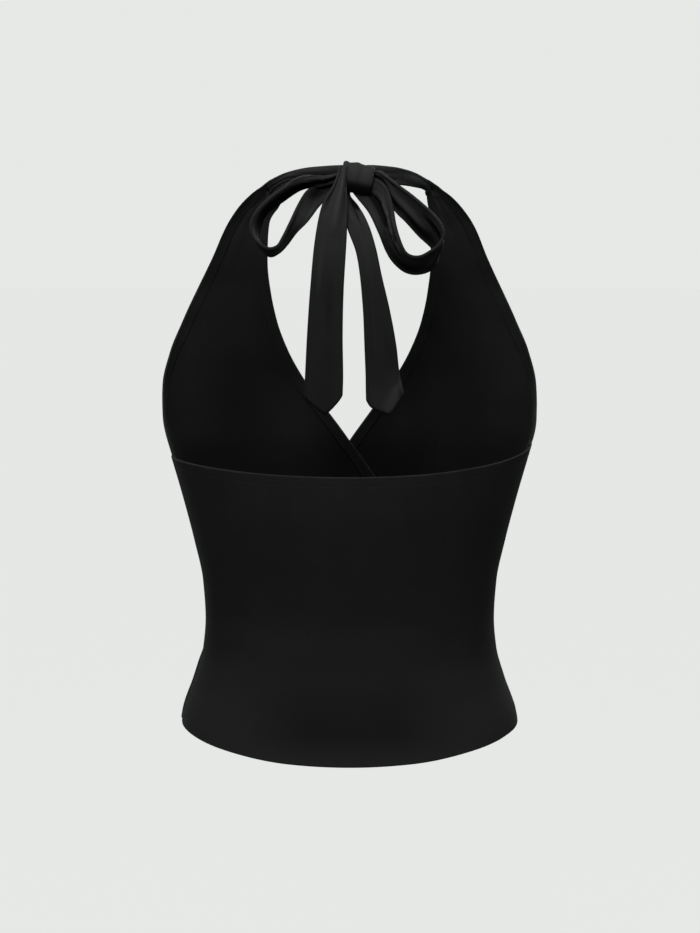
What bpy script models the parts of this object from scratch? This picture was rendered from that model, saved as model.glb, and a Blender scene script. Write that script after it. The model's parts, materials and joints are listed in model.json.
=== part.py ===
"""A tie-neck halter crop top in fine black jersey, in the hollow form it has when it is worn.

It holds two crossing front panels, a low back panel and two long ties that go round the neck and
are knotted in a bow at the nape. Lengths are in metres. +Z is up, the front faces -Y and +X is
the wearer's left. The origin is the inner face of the neck strap at the nape.
"""
import math

import bmesh
import bpy
from mathutils import Matrix, Vector

# --- Driving dimensions ---------------------------------------------------------------------
MM = 0.001

# The side seams lie in one upright plane, this far in front of the nape.
SIDE_PLANE_Y = -48 * MM

# One layer of jersey with its turned hems, and the air between two layers that lie together.
WALL = 1.4 * MM
LAYER_AIR = 1.0 * MM
LAYER_PITCH = WALL + LAYER_AIR

# Neighbouring pieces are this far apart where they are sewn together.
SEAM_GAP = 0.3 * MM

# The fuller part of each front, set by the stretch of the knit over a general figure.
CUP_DEPTH = 15 * MM
CUP_CENTRE_X = 78 * MM
CUP_CENTRE_Z = -195 * MM
CUP_REACH_X = 50 * MM
CUP_REACH_Z = 48 * MM

# The back panel is a little squarer in plan than an ellipse: its exponent is 2 over this.
BACK_SQUARENESS = 0.94

# Below the underarm the wearer's right side stands this much wider, in millimetres as the
# tables are.
RIGHT_SIDE_EXTRA = 0.6

# The seam reaches higher under the wearer's right arm than under the left one.
SEAM_TOP_DROP = {"left": 234.5 * MM, "right": 223 * MM}

# The armhole's curve above this drop is the same on both sides.
ARMHOLE_COMMON_DROP = 150 * MM

# The knot: its half sizes, centre and lean, and how square its sides are.
KNOT_HALF = Vector((12.4 * MM, 8.4 * MM, 11.4 * MM))
KNOT_CENTRE = Vector((-8.4 * MM, 12.2 * MM, -1.6 * MM))
KNOT_LEAN = math.radians(-11)
KNOT_ROUNDNESS = 0.55
KNOT_PINCH = 0.10
KNOT_CUTS = 7

# The two neck straps meet behind the middle of the knot.
STRAP_MEET_X = -8.4 * MM

# Counts of quads along and across each kind of piece.
FRONT_COLUMNS = 24
BACK_ROWS = 14
BACK_COLUMNS = 28
LOOP_ROWS = 44
TAIL_ROWS = 20
STRAP_ROWS = 12
RIBBON_COLUMNS = 5

# Front panel, one row for each station from the tie seam down to the hem, in millimetres.
# Outer is the armhole or side seam, inner is the neckline or the centre line. Depths are from
# the side plane, and drops are down from the nape. Roundness runs from a flat strip (0) to a
# quarter ellipse (1). Hump is the outward bow of a flat strip, and right extra is how much wider
# the wearer's right side stands.
FRONT_COLUMNS_NAMED = (
    "outer_drop", "outer_x", "outer_depth", "inner_drop", "inner_x", "inner_depth", "roundness", "hump",
    "right_extra",
)
FRONT_STATIONS = (
    (2, 66, 16, 9, 64.5, 2, 0, 0, 0),
    (11, 79.5, 4, 18.5, 66.5, -13, 0, 1, 0.6),
    (22, 93, -14, 31, 69.2, -30, 0.05, 2, 1),
    (38.5, 106, -36, 48, 71.3, -47, 0.1, 3, 1.6),
    (68, 121.3, -60, 73, 72.3, -65, 0.2, 5, 0.8),
    (95, 135.4, -69, 98, 70.1, -78, 0.3, 6, 0.2),
    (122, 148.2, -68, 124, 65.2, -89, 0.5, 6, 0),
    (149, 158.8, -58, 150.5, 55.8, -97, 0.75, 5, 0),
    (176, 164, -41, 178, 41, -103, 0.9, 3, -0.4),
    (204, 161.8, -19, 206, 20.3, -104.5, 1, 0, -0.2),
    (234.5, 152.4, 0, 233.5, 0, -101, 1, 0, RIGHT_SIDE_EXTRA),
    (269, 142.8, 0, 269, 0, -97.5, 1, 0, RIGHT_SIDE_EXTRA),
    (309, 132.9, 0, 310, 0, -93.5, 1, 0, RIGHT_SIDE_EXTRA),
    (342, 126.3, 0, 344, 0, -91.5, 1, 0, RIGHT_SIDE_EXTRA),
    (375, 124.4, 0, 379, 0, -91, 1, 0, RIGHT_SIDE_EXTRA),
    (401, 126.6, 0, 407, 0, -93.5, 1, 0, RIGHT_SIDE_EXTRA),
    (428, 134, 0, 437, 0, -98.5, 1, 0, RIGHT_SIDE_EXTRA),
    (455, 143.6, 0, 467, 0, -105, 1, 0, RIGHT_SIDE_EXTRA),
    (466.4, 145.8, 0, 480, 0, -108, 1, 0, RIGHT_SIDE_EXTRA),
)

# The rows of a front panel: each span ends at this drop and holds this many rows.
ROW_SPANS = ((2, 0), (38.5, 4), (122, 5), (234.5, 6), (370, 8), (417, 5), (466.4, 3))

# How far each front reaches across the other half: its share of that half at each drop.
WRAP_COLUMNS_NAMED = ("outer_drop", "share")
WRAP_EDGE = (
    (2, 0),
    (234.5, 0),
    (249, 0.047),
    (264.5, 0.10),
    (300, 0.24),
    (335, 0.41),
    (370, 0.62),
    (400, 0.85),
    (417, 1),
    (466.4, 1),
)

# Torso sections below the underarm, in millimetres: half width at the side seam, and how far
# the centre back lies behind the side plane.
BACK_COLUMNS_NAMED = ("drop", "half_width", "back_depth")
BACK_SECTIONS = (
    (215, 158, 97),
    (234.5, 152.4, 96.5),
    (269, 142.8, 93),
    (309, 132.9, 85),
    (342, 126.3, 78),
    (375, 124.4, 74),
    (401, 126.6, 76),
    (428, 134, 83),
    (455, 143.6, 91.5),
    (466.4, 145.8, 95),
    (482, 146.5, 98),
)

# The back panel's top edge and hem, from the left side seam (0) round to the right one (1).
BACK_EDGE_COLUMNS_NAMED = ("around", "top_drop", "hem_drop")
BACK_EDGES = (
    (0, 234.5, 466.4),
    (0.1, 235, 468.5),
    (0.25, 238, 474.5),
    (0.4, 241.2, 480.3),
    (0.5, 242, 481.5),
    (0.6, 241, 480.3),
    (0.75, 236, 474.5),
    (0.9, 228.5, 468.5),
    (1, 223, 466.4),
)

# Ties. Each row gives both edges of the band in millimetres and its thickness there. The first
# edge is the upper one on a strap, the nearer one to a viewer behind on a loop, and the one on
# the wearer's left on a tail. Bow is the outward swell of the band's middle.
RIBBON_COLUMNS_NAMED = ("ax", "ay", "az", "bx", "by", "bz", "thickness", "bow")
STRAP_HALF = (
    (0, 1.5, 8.4, 0, 1.5, -8, 3, 0),
    (12, 1.1, 8.8, 12, 0.8, -8, 3, 0.3),
    (25, -1.6, 8.2, 25, -2.8, -7.6, 2.8, 0.5),
    (39, -8, 7, 38, -11.5, -7, 2.6, 0.5),
    (54, -20, 3.6, 52.5, -28, -8, 2.2, 0.3),
    (65.1, -31.3, -1.4, 63.5, -44.8, -8.4, 1.5, 0),
)
LOOP_LEFT = (
    (-3, 11.5, 1.5, -3, 9, -2, 2.2, 0),
    (6.2, 13, 1.8, 6.2, 7, -3.8, 2.2, 0.5),
    (21, 18, -0.5, 22.5, 5, -8, 2.2, 0.8),
    (40.6, 24, -3.4, 38.5, 3, -11.2, 2.2, 1),
    (59.3, 27, -13.5, 54.5, 1.5, -21.2, 2.2, 1),
    (73.5, 28, -26.5, 67.3, 0.5, -31, 2.2, 0.6),
    (79.5, 28, -37.6, 72.6, 0, -42.8, 2.2, 0.3),
    (78.8, 28, -46.4, 73.5, 0, -52.6, 2.2, 0.3),
    (73.6, 28, -53.6, 70.2, 1, -60.7, 2.2, 0.3),
    (65.6, 28, -58.3, 64.4, 3, -64.9, 2.2, 0.3),
    (58.2, 27, -56.6, 56.6, 4, -62.4, 2.2, 0.4),
    (54, 26, -50, 49.5, 5, -57.5, 2.2, 0.5),
    (48, 24, -37.6, 41.3, 6, -48, 2.2, 0.8),
    (41.3, 20.5, -22.5, 34.7, 7, -37, 2.2, 0.8),
    (33.8, 17.5, -12.4, 23.7, 7.5, -24.4, 2.2, 0.8),
    (21.5, 14.5, -8.4, 15.2, 7, -16.3, 2.2, 0.5),
    (8, 12.5, -5.5, 7, 7, -10, 2.2, 0.2),
    (-3, 11.5, -4, -3, 9, -6, 2.2, 0),
)
LOOP_RIGHT = (
    (-13, 12, 2, -13, 9.5, -2, 2.2, 0),
    (-22.1, 13.5, 2.6, -23, 7, -3.5, 2.2, 0.4),
    (-30.1, 17, -1.5, -29.2, 5, -11, 2.2, 0.8),
    (-39.7, 20.5, -8, -36, 4, -24.5, 2.2, 1),
    (-51.7, 23.5, -16.9, -46.8, 3, -36.5, 2.2, 1),
    (-65.4, 25.5, -28.8, -57.5, 2, -48.9, 2.2, 0.8),
    (-73.4, 26, -38.4, -67.2, 1.5, -59.1, 2.2, 0.4),
    (-75.9, 26, -47.2, -71.6, 1.5, -66.8, 2.2, 0.3),
    (-71.9, 26, -54.8, -69.5, 2.5, -74, 2.2, 0.3),
    (-65.1, 26, -60.4, -61.7, 4, -78.6, 2.2, 0.3),
    (-57.5, 26, -64.3, -52.7, 5, -80, 2.2, 0.4),
    (-50.5, 26, -64.2, -44.4, 6, -77.6, 2.2, 0.5),
    (-45.2, 26, -60.6, -36, 7, -70.4, 2.2, 0.6),
    (-40.8, 25, -50.6, -30.1, 7.5, -61, 2.2, 0.8),
    (-37.6, 23.5, -38.8, -23.9, 8, -45.4, 2.2, 0.8),
    (-35, 20.5, -26, -17, 8, -29.5, 2.2, 0.6),
    (-28.5, 16.5, -12.5, -11.4, 7.5, -18.5, 2.2, 0.3),
    (-14, 13, -5, -8.5, 9, -9, 2.2, 0),
)
TAIL_LEFT = (
    (1, 13, 5, -3, 13, 4, 2.2, 0),
    (7.5, 19.5, 6.5, 2.5, 19.8, 5.2, 2.2, 0.3),
    (10.4, 22.8, -1.5, 2.3, 22.5, -2, 2.2, 0.6),
    (14.5, 24.5, -10.4, 1.9, 24, -11, 2.2, 1),
    (21.6, 25.6, -22.4, 1.3, 25, -25, 2.2, 1.2),
    (27.6, 28, -50.4, 2.1, 28, -50.4, 2.2, 1.4),
    (31.6, 35, -91.8, 4.5, 35.5, -91.8, 2.2, 1.2),
    (34, 41, -127.6, 5.3, 41.5, -127.6, 2.2, 1),
    (35.6, 45.5, -160, 4.9, 46, -160, 2.2, 1),
    (36.4, 47.8, -179, 5.3, 48.2, -178.6, 2.2, 0.8),
)
TAIL_RIGHT = (
    (-2, 10, -4, -8, 10, -5, 2.2, 0),
    (6, 10.2, -12.5, -0.5, 10, -14.5, 2.2, 0.3),
    (7, 12.6, -23, -7.4, 12.6, -24, 2.2, 0.8),
    (1.6, 20, -43.1, -15.6, 19.5, -39.8, 2.2, 1.2),
    (-4.9, 25, -60.7, -21.4, 24.5, -58.2, 2.2, 1.4),
    (-8.3, 30, -79.9, -26, 30, -79.9, 2.2, 1.4),
    (-10.9, 36, -109, -32.6, 36, -108, 2.2, 1.2),
    (-12, 41, -136, -37.6, 41, -135, 2.2, 1),
    (-13.1, 45, -163.3, -40.6, 45, -160, 2.2, 1),
    (-13.9, 47.4, -180, -43.9, 48, -176.5, 2.2, 0.8),
)

# Each tail ends in a blunt point: how far it reaches past its corners, where the point sits
# across the band, and how late along the tail the lengthening sets in.
TAIL_POINT_REACH = 13 * MM
TAIL_POINT_PLACE = {"left": 0.6, "right": 0.66}
TAIL_POINT_LATENESS = 12

# Linear colours: the ties catch a little more light than the body.
CLOTH_COLOUR = {
    "front_left_panel": (0.010, 0.010, 0.011),
    "front_right_panel": (0.011, 0.011, 0.012),
    "back_panel": (0.012, 0.012, 0.013),
    "neck_strap_left": (0.014, 0.014, 0.015),
    "neck_strap_right": (0.014, 0.014, 0.015),
    "bow_knot": (0.016, 0.016, 0.017),
    "bow_loop_left": (0.015, 0.015, 0.016),
    "bow_loop_right": (0.015, 0.015, 0.017),
    "tie_tail_left": (0.014, 0.014, 0.015),
    "tie_tail_right": (0.014, 0.014, 0.016),
}
CLOTH_ROUGHNESS = 0.72


# --- Tables ---------------------------------------------------------------------------------
def read_table(names, rows):
    """Turn a table's rows into one list of numbers for each named column."""
    return {name: [row[index] for row in rows] for index, name in enumerate(names)}


def smooth_value(keys, values, key):
    """Follow a smooth curve through a column: cubic spans whose slopes never overshoot."""
    if key <= keys[0]:
        return values[0]
    if key >= keys[-1]:
        return values[-1]
    span = max(index for index in range(len(keys) - 1) if keys[index] <= key)

    def chord(index):
        return (values[index + 1] - values[index]) / (keys[index + 1] - keys[index])

    def slope(index):
        if index == 0:
            return chord(0)
        if index == len(keys) - 1:
            return chord(index - 1)
        before = chord(index - 1)
        after = chord(index)
        if before * after <= 0:
            return 0.0
        return 2 * before * after / (before + after)

    width = keys[span + 1] - keys[span]
    t = (key - keys[span]) / width
    start = (1 + 2 * t) * (1 - t) ** 2 * values[span]
    leave = t * (1 - t) ** 2 * width * slope(span)
    end = t * t * (3 - 2 * t) * values[span + 1]
    arrive = t * t * (t - 1) * width * slope(span + 1)
    return start + leave + end + arrive


def row_of(table, key_name, key):
    """One row read from between a table's rows, as a dictionary of its columns."""
    keys = table[key_name]
    return {name: smooth_value(keys, values, key) for name, values in table.items()}


FRONT = read_table(FRONT_COLUMNS_NAMED, FRONT_STATIONS)
WRAP = read_table(WRAP_COLUMNS_NAMED, WRAP_EDGE)
BACK = read_table(BACK_COLUMNS_NAMED, BACK_SECTIONS)
BACK_EDGE = read_table(BACK_EDGE_COLUMNS_NAMED, BACK_EDGES)


# --- Blender helpers ------------------------------------------------------------------------
def clear_scene():
    for existing in list(bpy.data.objects):
        bpy.data.objects.remove(existing, do_unlink=True)


def new_collection(name):
    collection = bpy.data.collections.new(name)
    bpy.context.scene.collection.children.link(collection)
    return collection


def cloth_material(name):
    material = bpy.data.materials.new(name)
    material.use_nodes = True
    shader = material.node_tree.nodes["Principled BSDF"]
    shader.inputs["Base Color"].default_value = (*CLOTH_COLOUR[name], 1)
    shader.inputs["Roughness"].default_value = CLOTH_ROUGHNESS
    shader.inputs["Metallic"].default_value = 0.0
    return material


def add_object(name, bm, collection):
    bmesh.ops.recalc_face_normals(bm, faces=bm.faces)
    mesh = bpy.data.meshes.new(name)
    bm.to_mesh(mesh)
    bm.free()
    piece = bpy.data.objects.new(name, mesh)
    collection.objects.link(piece)
    return piece


def finish_cloth(piece):
    piece.data.materials.append(cloth_material(piece.name))
    piece.data.shade_smooth()


def grid_on(place, columns, rows):
    """A grid of quads whose points are placed by place(across, along), both from 0 to 1."""
    bm = bmesh.new()
    bmesh.ops.create_grid(bm, x_segments=columns, y_segments=rows, size=1)
    for vertex in bm.verts:
        across = (vertex.co.x + 1) / 2
        along = (1 - vertex.co.y) / 2
        vertex.co = place(across, along)
    return bm


def thicken(piece, thickness):
    solidify = piece.modifiers.new("wall", "SOLIDIFY")
    solidify.thickness = thickness
    solidify.offset = 0
    solidify.use_even_offset = True
    return solidify


# --- Torso panels ---------------------------------------------------------------------------
# A slope is read between two points this far apart: a share of half a section and a drop in
# millimetres on the fronts, and a share of the length on a band.
AROUND_STEP = 0.002
DROP_STEP = 1
BAND_STEP = 0.01


def front_rows():
    """The drop at the outer edge for every row of a front panel, from the tie seam to the hem."""
    drops = [ROW_SPANS[0][0]]
    for (start, _), (end, count) in zip(ROW_SPANS, ROW_SPANS[1:]):
        drops += [start + (end - start) * step / count for step in range(1, count + 1)]
    return drops


def armhole_depth(side, drop):
    """Depth of the armhole edge, with the curve's foot moved to where this side's seam ends."""
    start = ARMHOLE_COMMON_DROP / MM
    own_end = SEAM_TOP_DROP[side] / MM
    table_end = SEAM_TOP_DROP["left"] / MM
    if drop > start:
        drop = start + (drop - start) * (table_end - start) / (own_end - start)
    return smooth_value(FRONT["outer_drop"], FRONT["outer_depth"], drop)


def cup_swell(x, z):
    across = (abs(x) - CUP_CENTRE_X) / CUP_REACH_X
    down = (z - CUP_CENTRE_Z) / CUP_REACH_Z
    return CUP_DEPTH * math.exp(-across * across - down * down)


def front_base(side, around, drop):
    """A point of the front at this drop. Around runs from the left side (1) to the right (-1)."""
    on_left = around > 0 or (around == 0 and side == "left")
    row = row_of(FRONT, "outer_drop", drop)
    row["outer_depth"] = armhole_depth("left" if on_left else "right", drop)
    if not on_left:
        row["outer_x"] += row["right_extra"]
    share = 1 - abs(around)
    angle = share * math.pi / 2
    round_x = row["inner_x"] + (row["outer_x"] - row["inner_x"]) * math.cos(angle)
    round_y = row["outer_depth"] + (row["inner_depth"] - row["outer_depth"]) * math.sin(angle)
    chord = Vector((row["inner_x"] - row["outer_x"], row["inner_depth"] - row["outer_depth"]))
    outward = Vector((-chord.y, chord.x)).normalized() if chord.length else Vector((0, 0))
    if outward.y > 0:
        outward = -outward
    bowed = 4 * share * (1 - share) * row["hump"]
    flat_x = row["outer_x"] + chord.x * share + outward.x * bowed
    flat_y = row["outer_depth"] + chord.y * share + outward.y * bowed
    blend = row["roundness"]
    x = (flat_x + (round_x - flat_x) * blend) * MM
    y = (flat_y + (round_y - flat_y) * blend) * MM
    lowering = math.sin(angle) ** 2
    z = -(row["outer_drop"] + (row["inner_drop"] - row["outer_drop"]) * lowering) * MM
    y += SIDE_PLANE_Y - SEAM_GAP / 2 - cup_swell(x, z)
    return Vector((x if on_left else -x, y, z))


def front_point(side, around, drop):
    """A point of one front, moved out or in so that the two layers lie one on the other."""
    here = front_base(side, around, drop)
    sideways = -AROUND_STEP if around > 0 else AROUND_STEP
    if abs(around) < AROUND_STEP:
        sideways = AROUND_STEP if side == "left" else -AROUND_STEP
    beside = front_base(side, around + sideways, drop) - here
    below = front_base(side, around, drop + DROP_STEP) - front_base(side, around, drop - DROP_STEP)
    outward = beside.cross(below).normalized()
    inside = Vector((0, SIDE_PLANE_Y, here.z))
    if outward.dot(here - inside) < 0:
        outward = -outward
    layer = 1 if side == "right" else -1
    shift = (math.sin(around * math.pi / 2) + layer) * LAYER_PITCH / 2
    return here + outward * shift


def front_panel(side, collection):
    """One front: from its own armhole and side seam across the centre to the far side seam."""
    own = 1 if side == "left" else -1
    drops = front_rows()

    def place(across, along):
        drop = drops[round(along * (len(drops) - 1))]
        far_share = smooth_value(WRAP["outer_drop"], WRAP["share"], drop)
        even = across * (1 + far_share)
        split = min(2 * across, 1) + far_share * max(2 * across - 1, 0)
        reached = even + (split - even) * math.sqrt(far_share)
        return front_point(side, own * (1 - reached), drop)

    bm = grid_on(place, FRONT_COLUMNS, len(drops) - 1)
    piece = add_object(f"front_{side}_panel", bm, collection)
    thicken(piece, WALL)
    finish_cloth(piece)
    return piece


def back_point(around, along):
    """A point of the back panel, around from the left seam (0) to the right seam (1)."""
    edge = row_of(BACK_EDGE, "around", around)
    drop = edge["top_drop"] + (edge["hem_drop"] - edge["top_drop"]) * along
    section = row_of(BACK, "drop", drop)
    cosine = math.cos(around * math.pi)
    sine = max(0.0, math.sin(around * math.pi))
    half_width = section["half_width"] + (RIGHT_SIDE_EXTRA if cosine < 0 else 0)
    x = math.copysign(abs(cosine) ** BACK_SQUARENESS, cosine) * half_width * MM
    y = SIDE_PLANE_Y + SEAM_GAP / 2 + sine ** BACK_SQUARENESS * section["back_depth"] * MM
    return Vector((x, y, -drop * MM))


def back_panel(collection):
    bm = grid_on(back_point, BACK_COLUMNS, BACK_ROWS)
    piece = add_object("back_panel", bm, collection)
    thicken(piece, WALL)
    finish_cloth(piece)
    return piece


# --- Ties -----------------------------------------------------------------------------------
def band_centres(table):
    """How far along the band each row lies, measured between the middles of its rows."""
    middles = []
    for index in range(len(table["ax"])):
        first = Vector((table["ax"][index], table["ay"][index], table["az"][index]))
        second = Vector((table["bx"][index], table["by"][index], table["bz"][index]))
        middles.append((first + second) / 2)
    lengths = [0.0]
    for before, after in zip(middles, middles[1:]):
        lengths.append(lengths[-1] + (after - before).length)
    return [length / lengths[-1] for length in lengths]


def curve_value(keys, values, key):
    """A smooth curve through a column that may overshoot a little, for a band's free curves."""
    span = max(index for index in range(len(keys) - 1) if keys[index] <= key)

    def slope(index):
        low = max(index - 1, 0)
        high = min(index + 1, len(keys) - 1)
        return (values[high] - values[low]) / (keys[high] - keys[low])

    width = keys[span + 1] - keys[span]
    t = (key - keys[span]) / width
    start = (1 + 2 * t) * (1 - t) ** 2 * values[span]
    leave = t * (1 - t) ** 2 * width * slope(span)
    end = t * t * (3 - 2 * t) * values[span + 1]
    arrive = t * t * (t - 1) * width * slope(span + 1)
    return start + leave + end + arrive


def ribbon(name, rows, row_count, collection, side=1, start_shift=0.0, point_place=None):
    """A flat tie lofted between its two edges, with its thickness read from the same rows."""
    table = read_table(RIBBON_COLUMNS_NAMED, rows)
    keys = band_centres(table)
    thickest = max(table["thickness"])
    weights = []

    def row_at(along):
        return {column: curve_value(keys, values, along) for column, values in table.items()}

    def middle_at(along):
        row = row_at(along)
        return Vector((row["ax"] + row["bx"], row["ay"] + row["by"], row["az"] + row["bz"])) / 2

    def place(across, along):
        row = row_at(along)
        weights.append(row["thickness"] / thickest)
        first = Vector((row["ax"], row["ay"], row["az"]))
        second = Vector((row["bx"], row["by"], row["bz"]))
        ahead = middle_at(min(along + BAND_STEP, 1))
        travel = ahead - middle_at(max(along - BAND_STEP, 0))
        outward = travel.cross(second - first).normalized()
        bowed = row["bow"] * 4 * across * (1 - across)
        point = (first.lerp(second, across) + outward * bowed) * MM
        if point_place is not None:
            tent = min(across / point_place, (1 - across) / (1 - point_place))
            point.z -= TAIL_POINT_REACH * tent * along**TAIL_POINT_LATENESS
        point.x = point.x * side + start_shift * (1 - along) ** 2
        return point

    bm = grid_on(place, RIBBON_COLUMNS, row_count)
    piece = add_object(name, bm, collection)
    group = piece.vertex_groups.new(name="thickness")
    for index, weight in enumerate(weights):
        group.add([index], weight, "REPLACE")
    thicken(piece, thickest * MM).vertex_group = group.name
    finish_cloth(piece)
    return piece


def neck_strap(side, collection):
    """One tie from its seam with the front, round the neck, to the middle of the nape."""
    sign = 1 if side == "left" else -1
    start = STRAP_MEET_X + sign * SEAM_GAP / 2
    return ribbon(f"neck_strap_{side}", STRAP_HALF, STRAP_ROWS, collection, sign, start)


# --- Knot -----------------------------------------------------------------------------------
def rounded_power(value):
    return math.copysign(abs(value) ** KNOT_ROUNDNESS, value)


def knot_mesh(grown=0.0):
    """A cushion-like block with rounded sides, pinched a little where the ties go in."""
    bm = bmesh.new()
    bmesh.ops.create_cube(bm, size=2)
    bmesh.ops.subdivide_edges(bm, edges=bm.edges, cuts=KNOT_CUTS, use_grid_fill=True)
    half = KNOT_HALF + Vector((grown, grown, grown))
    for vertex in bm.verts:
        direction = vertex.co.normalized()
        rounded = Vector([rounded_power(value) for value in direction])
        pinch = 1 - KNOT_PINCH * rounded.x**2
        vertex.co = Vector((rounded.x * half.x, rounded.y * half.y * pinch, rounded.z * half.z * pinch))
    turn = Matrix.Rotation(KNOT_LEAN, 4, "Y")
    bmesh.ops.transform(bm, matrix=Matrix.Translation(KNOT_CENTRE) @ turn, verts=bm.verts)
    return bm


def bow_knot(collection):
    piece = add_object("bow_knot", knot_mesh(), collection)
    finish_cloth(piece)
    return piece


def knot_cutter(collection):
    """The knot grown by the seam gap, so that each tie ends just clear of it."""
    cutter = add_object("knot_cutter", knot_mesh(SEAM_GAP), collection)
    cutter.hide_render = True
    cutter.display_type = "WIRE"
    return cutter


def end_at_knot(piece, cutter):
    cut = piece.modifiers.new("end at the knot", "BOOLEAN")
    cut.operation = "DIFFERENCE"
    cut.solver = "EXACT"
    cut.object = cutter


# --- The whole garment ----------------------------------------------------------------------
def build():
    clear_scene()
    garment = new_collection("halter_crop_top")
    cutters = new_collection("cutters")
    front_panel("left", garment)
    front_panel("right", garment)
    back_panel(garment)
    neck_strap("left", garment)
    neck_strap("right", garment)
    bow_knot(garment)
    cutter = knot_cutter(cutters)
    tied = [
        ribbon("bow_loop_left", LOOP_LEFT, LOOP_ROWS, garment),
        ribbon("bow_loop_right", LOOP_RIGHT, LOOP_ROWS, garment),
        ribbon("tie_tail_left", TAIL_LEFT, TAIL_ROWS, garment, point_place=TAIL_POINT_PLACE["left"]),
        ribbon("tie_tail_right", TAIL_RIGHT, TAIL_ROWS, garment, point_place=TAIL_POINT_PLACE["right"]),
    ]
    for piece in tied:
        end_at_knot(piece, cutter)


build()
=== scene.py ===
# %% [markdown]
# # A tie-neck halter crop top in fine black jersey
#
# The real top is sewn from knitted jersey: two fronts that cross over each other in a deep V, one
# low back, and two long ties that go round the neck and are knotted in a bow at the nape. It is
# shown filled out as when it is worn, and seen from behind.
#
# The packed solids already hold the garment's true shape and size. This lesson dresses each of
# them: the wall becomes thinner cloth with turned and stitched edges, the ties get the folds that
# a knot presses into them, and black jersey gets its soft sheen. It starts by loading the frame.

# %% Load the frame
import functools
import json
import math

import bmesh
import bpy
from mathutils import Matrix, Vector

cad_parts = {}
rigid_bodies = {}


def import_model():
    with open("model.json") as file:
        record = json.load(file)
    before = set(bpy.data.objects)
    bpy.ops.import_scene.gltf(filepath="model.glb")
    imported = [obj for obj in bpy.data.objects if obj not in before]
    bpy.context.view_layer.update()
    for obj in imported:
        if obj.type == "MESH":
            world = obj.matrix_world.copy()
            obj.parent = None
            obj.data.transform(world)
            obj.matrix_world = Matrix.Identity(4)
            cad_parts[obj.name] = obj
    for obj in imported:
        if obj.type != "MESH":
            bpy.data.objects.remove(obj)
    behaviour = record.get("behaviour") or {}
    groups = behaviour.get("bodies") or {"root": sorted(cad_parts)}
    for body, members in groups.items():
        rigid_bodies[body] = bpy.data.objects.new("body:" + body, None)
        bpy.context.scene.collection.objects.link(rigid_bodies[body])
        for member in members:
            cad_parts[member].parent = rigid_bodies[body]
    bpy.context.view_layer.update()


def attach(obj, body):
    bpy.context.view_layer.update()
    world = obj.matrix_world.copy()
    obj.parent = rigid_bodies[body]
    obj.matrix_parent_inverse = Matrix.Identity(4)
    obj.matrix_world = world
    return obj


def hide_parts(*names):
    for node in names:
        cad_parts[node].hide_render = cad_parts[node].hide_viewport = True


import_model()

MM = 0.001

# %% [markdown]
# ## The camera
#
# A camera can be placed by eye, but sizes read from a photograph only hold if the lens is right.
# Here one pixel is 0.86 mm at the side seams, seen from 1.5 m, which gives the focal length. The
# photographer stood behind the garment and looked down by seven degrees.

# %% Place the camera
PICTURE_HEIGHT_PIXELS = 933
MM_PER_PIXEL = 0.86
SENSOR_MM = 36
CAMERA_DISTANCE = 1.5
CAMERA_TILT = math.radians(7)
CAMERA_AIM = Vector((-0.0005, -0.048, -0.2446))


def make_camera():
    data = bpy.data.cameras.new("camera")
    data.sensor_width = SENSOR_MM
    data.lens = CAMERA_DISTANCE / MM * SENSOR_MM / (MM_PER_PIXEL * PICTURE_HEIGHT_PIXELS)
    camera = bpy.data.objects.new("camera", data)
    looking = Vector((0, -math.cos(CAMERA_TILT), -math.sin(CAMERA_TILT)))
    camera.location = CAMERA_AIM - looking * CAMERA_DISTANCE
    camera.rotation_euler = looking.to_track_quat("-Z", "Y").to_euler()
    bpy.context.scene.collection.objects.link(camera)
    bpy.context.scene.camera = camera
    return camera


camera = make_camera()
print("lens, in mm:", round(camera.data.lens, 1))

# %% [markdown]
# ## Light and floor
#
# Black cloth is lit almost only by what surrounds it, so the studio is a pale room: an even world
# colour that fills every hollow, a key lamp high behind the camera that shapes the back, a smaller
# one above the bow, and two wide ones beyond the garment that run light along its far edges.
# The pale floor is far below, since the garment hangs at the height of a neck. It gives off most
# of its own colour, so that it meets the background without a line.

# %% Light the studio
STUDIO_COLOUR = (0.792, 0.813, 0.792)
FLOOR_DROP = 1.3
FLOOR_RADIUS = 60
FLOOR_SIDES = 96
FLOOR_OWN_LIGHT = 0.985
FLOOR_ROUGHNESS = 0.9
ROOM_LIGHT = 0.2
LAMPS = (
    ("key", 46, 0.7, (0.22, 2.1, 0.95)),
    ("top", 17, 0.6, (0.0, 0.35, 1.35)),
    ("left rim", 16.8, 1.4, (1.5, -1.9, 0.9)),
    ("right rim", 28, 1.4, (-1.5, -1.9, 0.9)),
)
LAMP_TARGET = Vector((0, -0.05, -0.25))


def make_world():
    world = bpy.data.worlds.new("studio")
    world.use_nodes = True
    background = world.node_tree.nodes["Background"]
    background.inputs["Color"].default_value = (*STUDIO_COLOUR, 1)
    rays = world.node_tree.nodes.new("ShaderNodeLightPath")
    strength = world.node_tree.nodes.new("ShaderNodeMapRange")
    strength.inputs["To Min"].default_value = ROOM_LIGHT
    strength.inputs["To Max"].default_value = 1.0
    world.node_tree.links.new(rays.outputs["Is Camera Ray"], strength.inputs["Value"])
    world.node_tree.links.new(strength.outputs["Result"], background.inputs["Strength"])
    bpy.context.scene.world = world


def make_lamp(name, power, size, place):
    data = bpy.data.lights.new(name, "AREA")
    data.energy = power
    data.shape = "DISK"
    data.size = size
    lamp = bpy.data.objects.new(name, data)
    lamp.location = place
    lamp.rotation_euler = (LAMP_TARGET - Vector(place)).to_track_quat("-Z", "Y").to_euler()
    bpy.context.scene.collection.objects.link(lamp)


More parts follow.
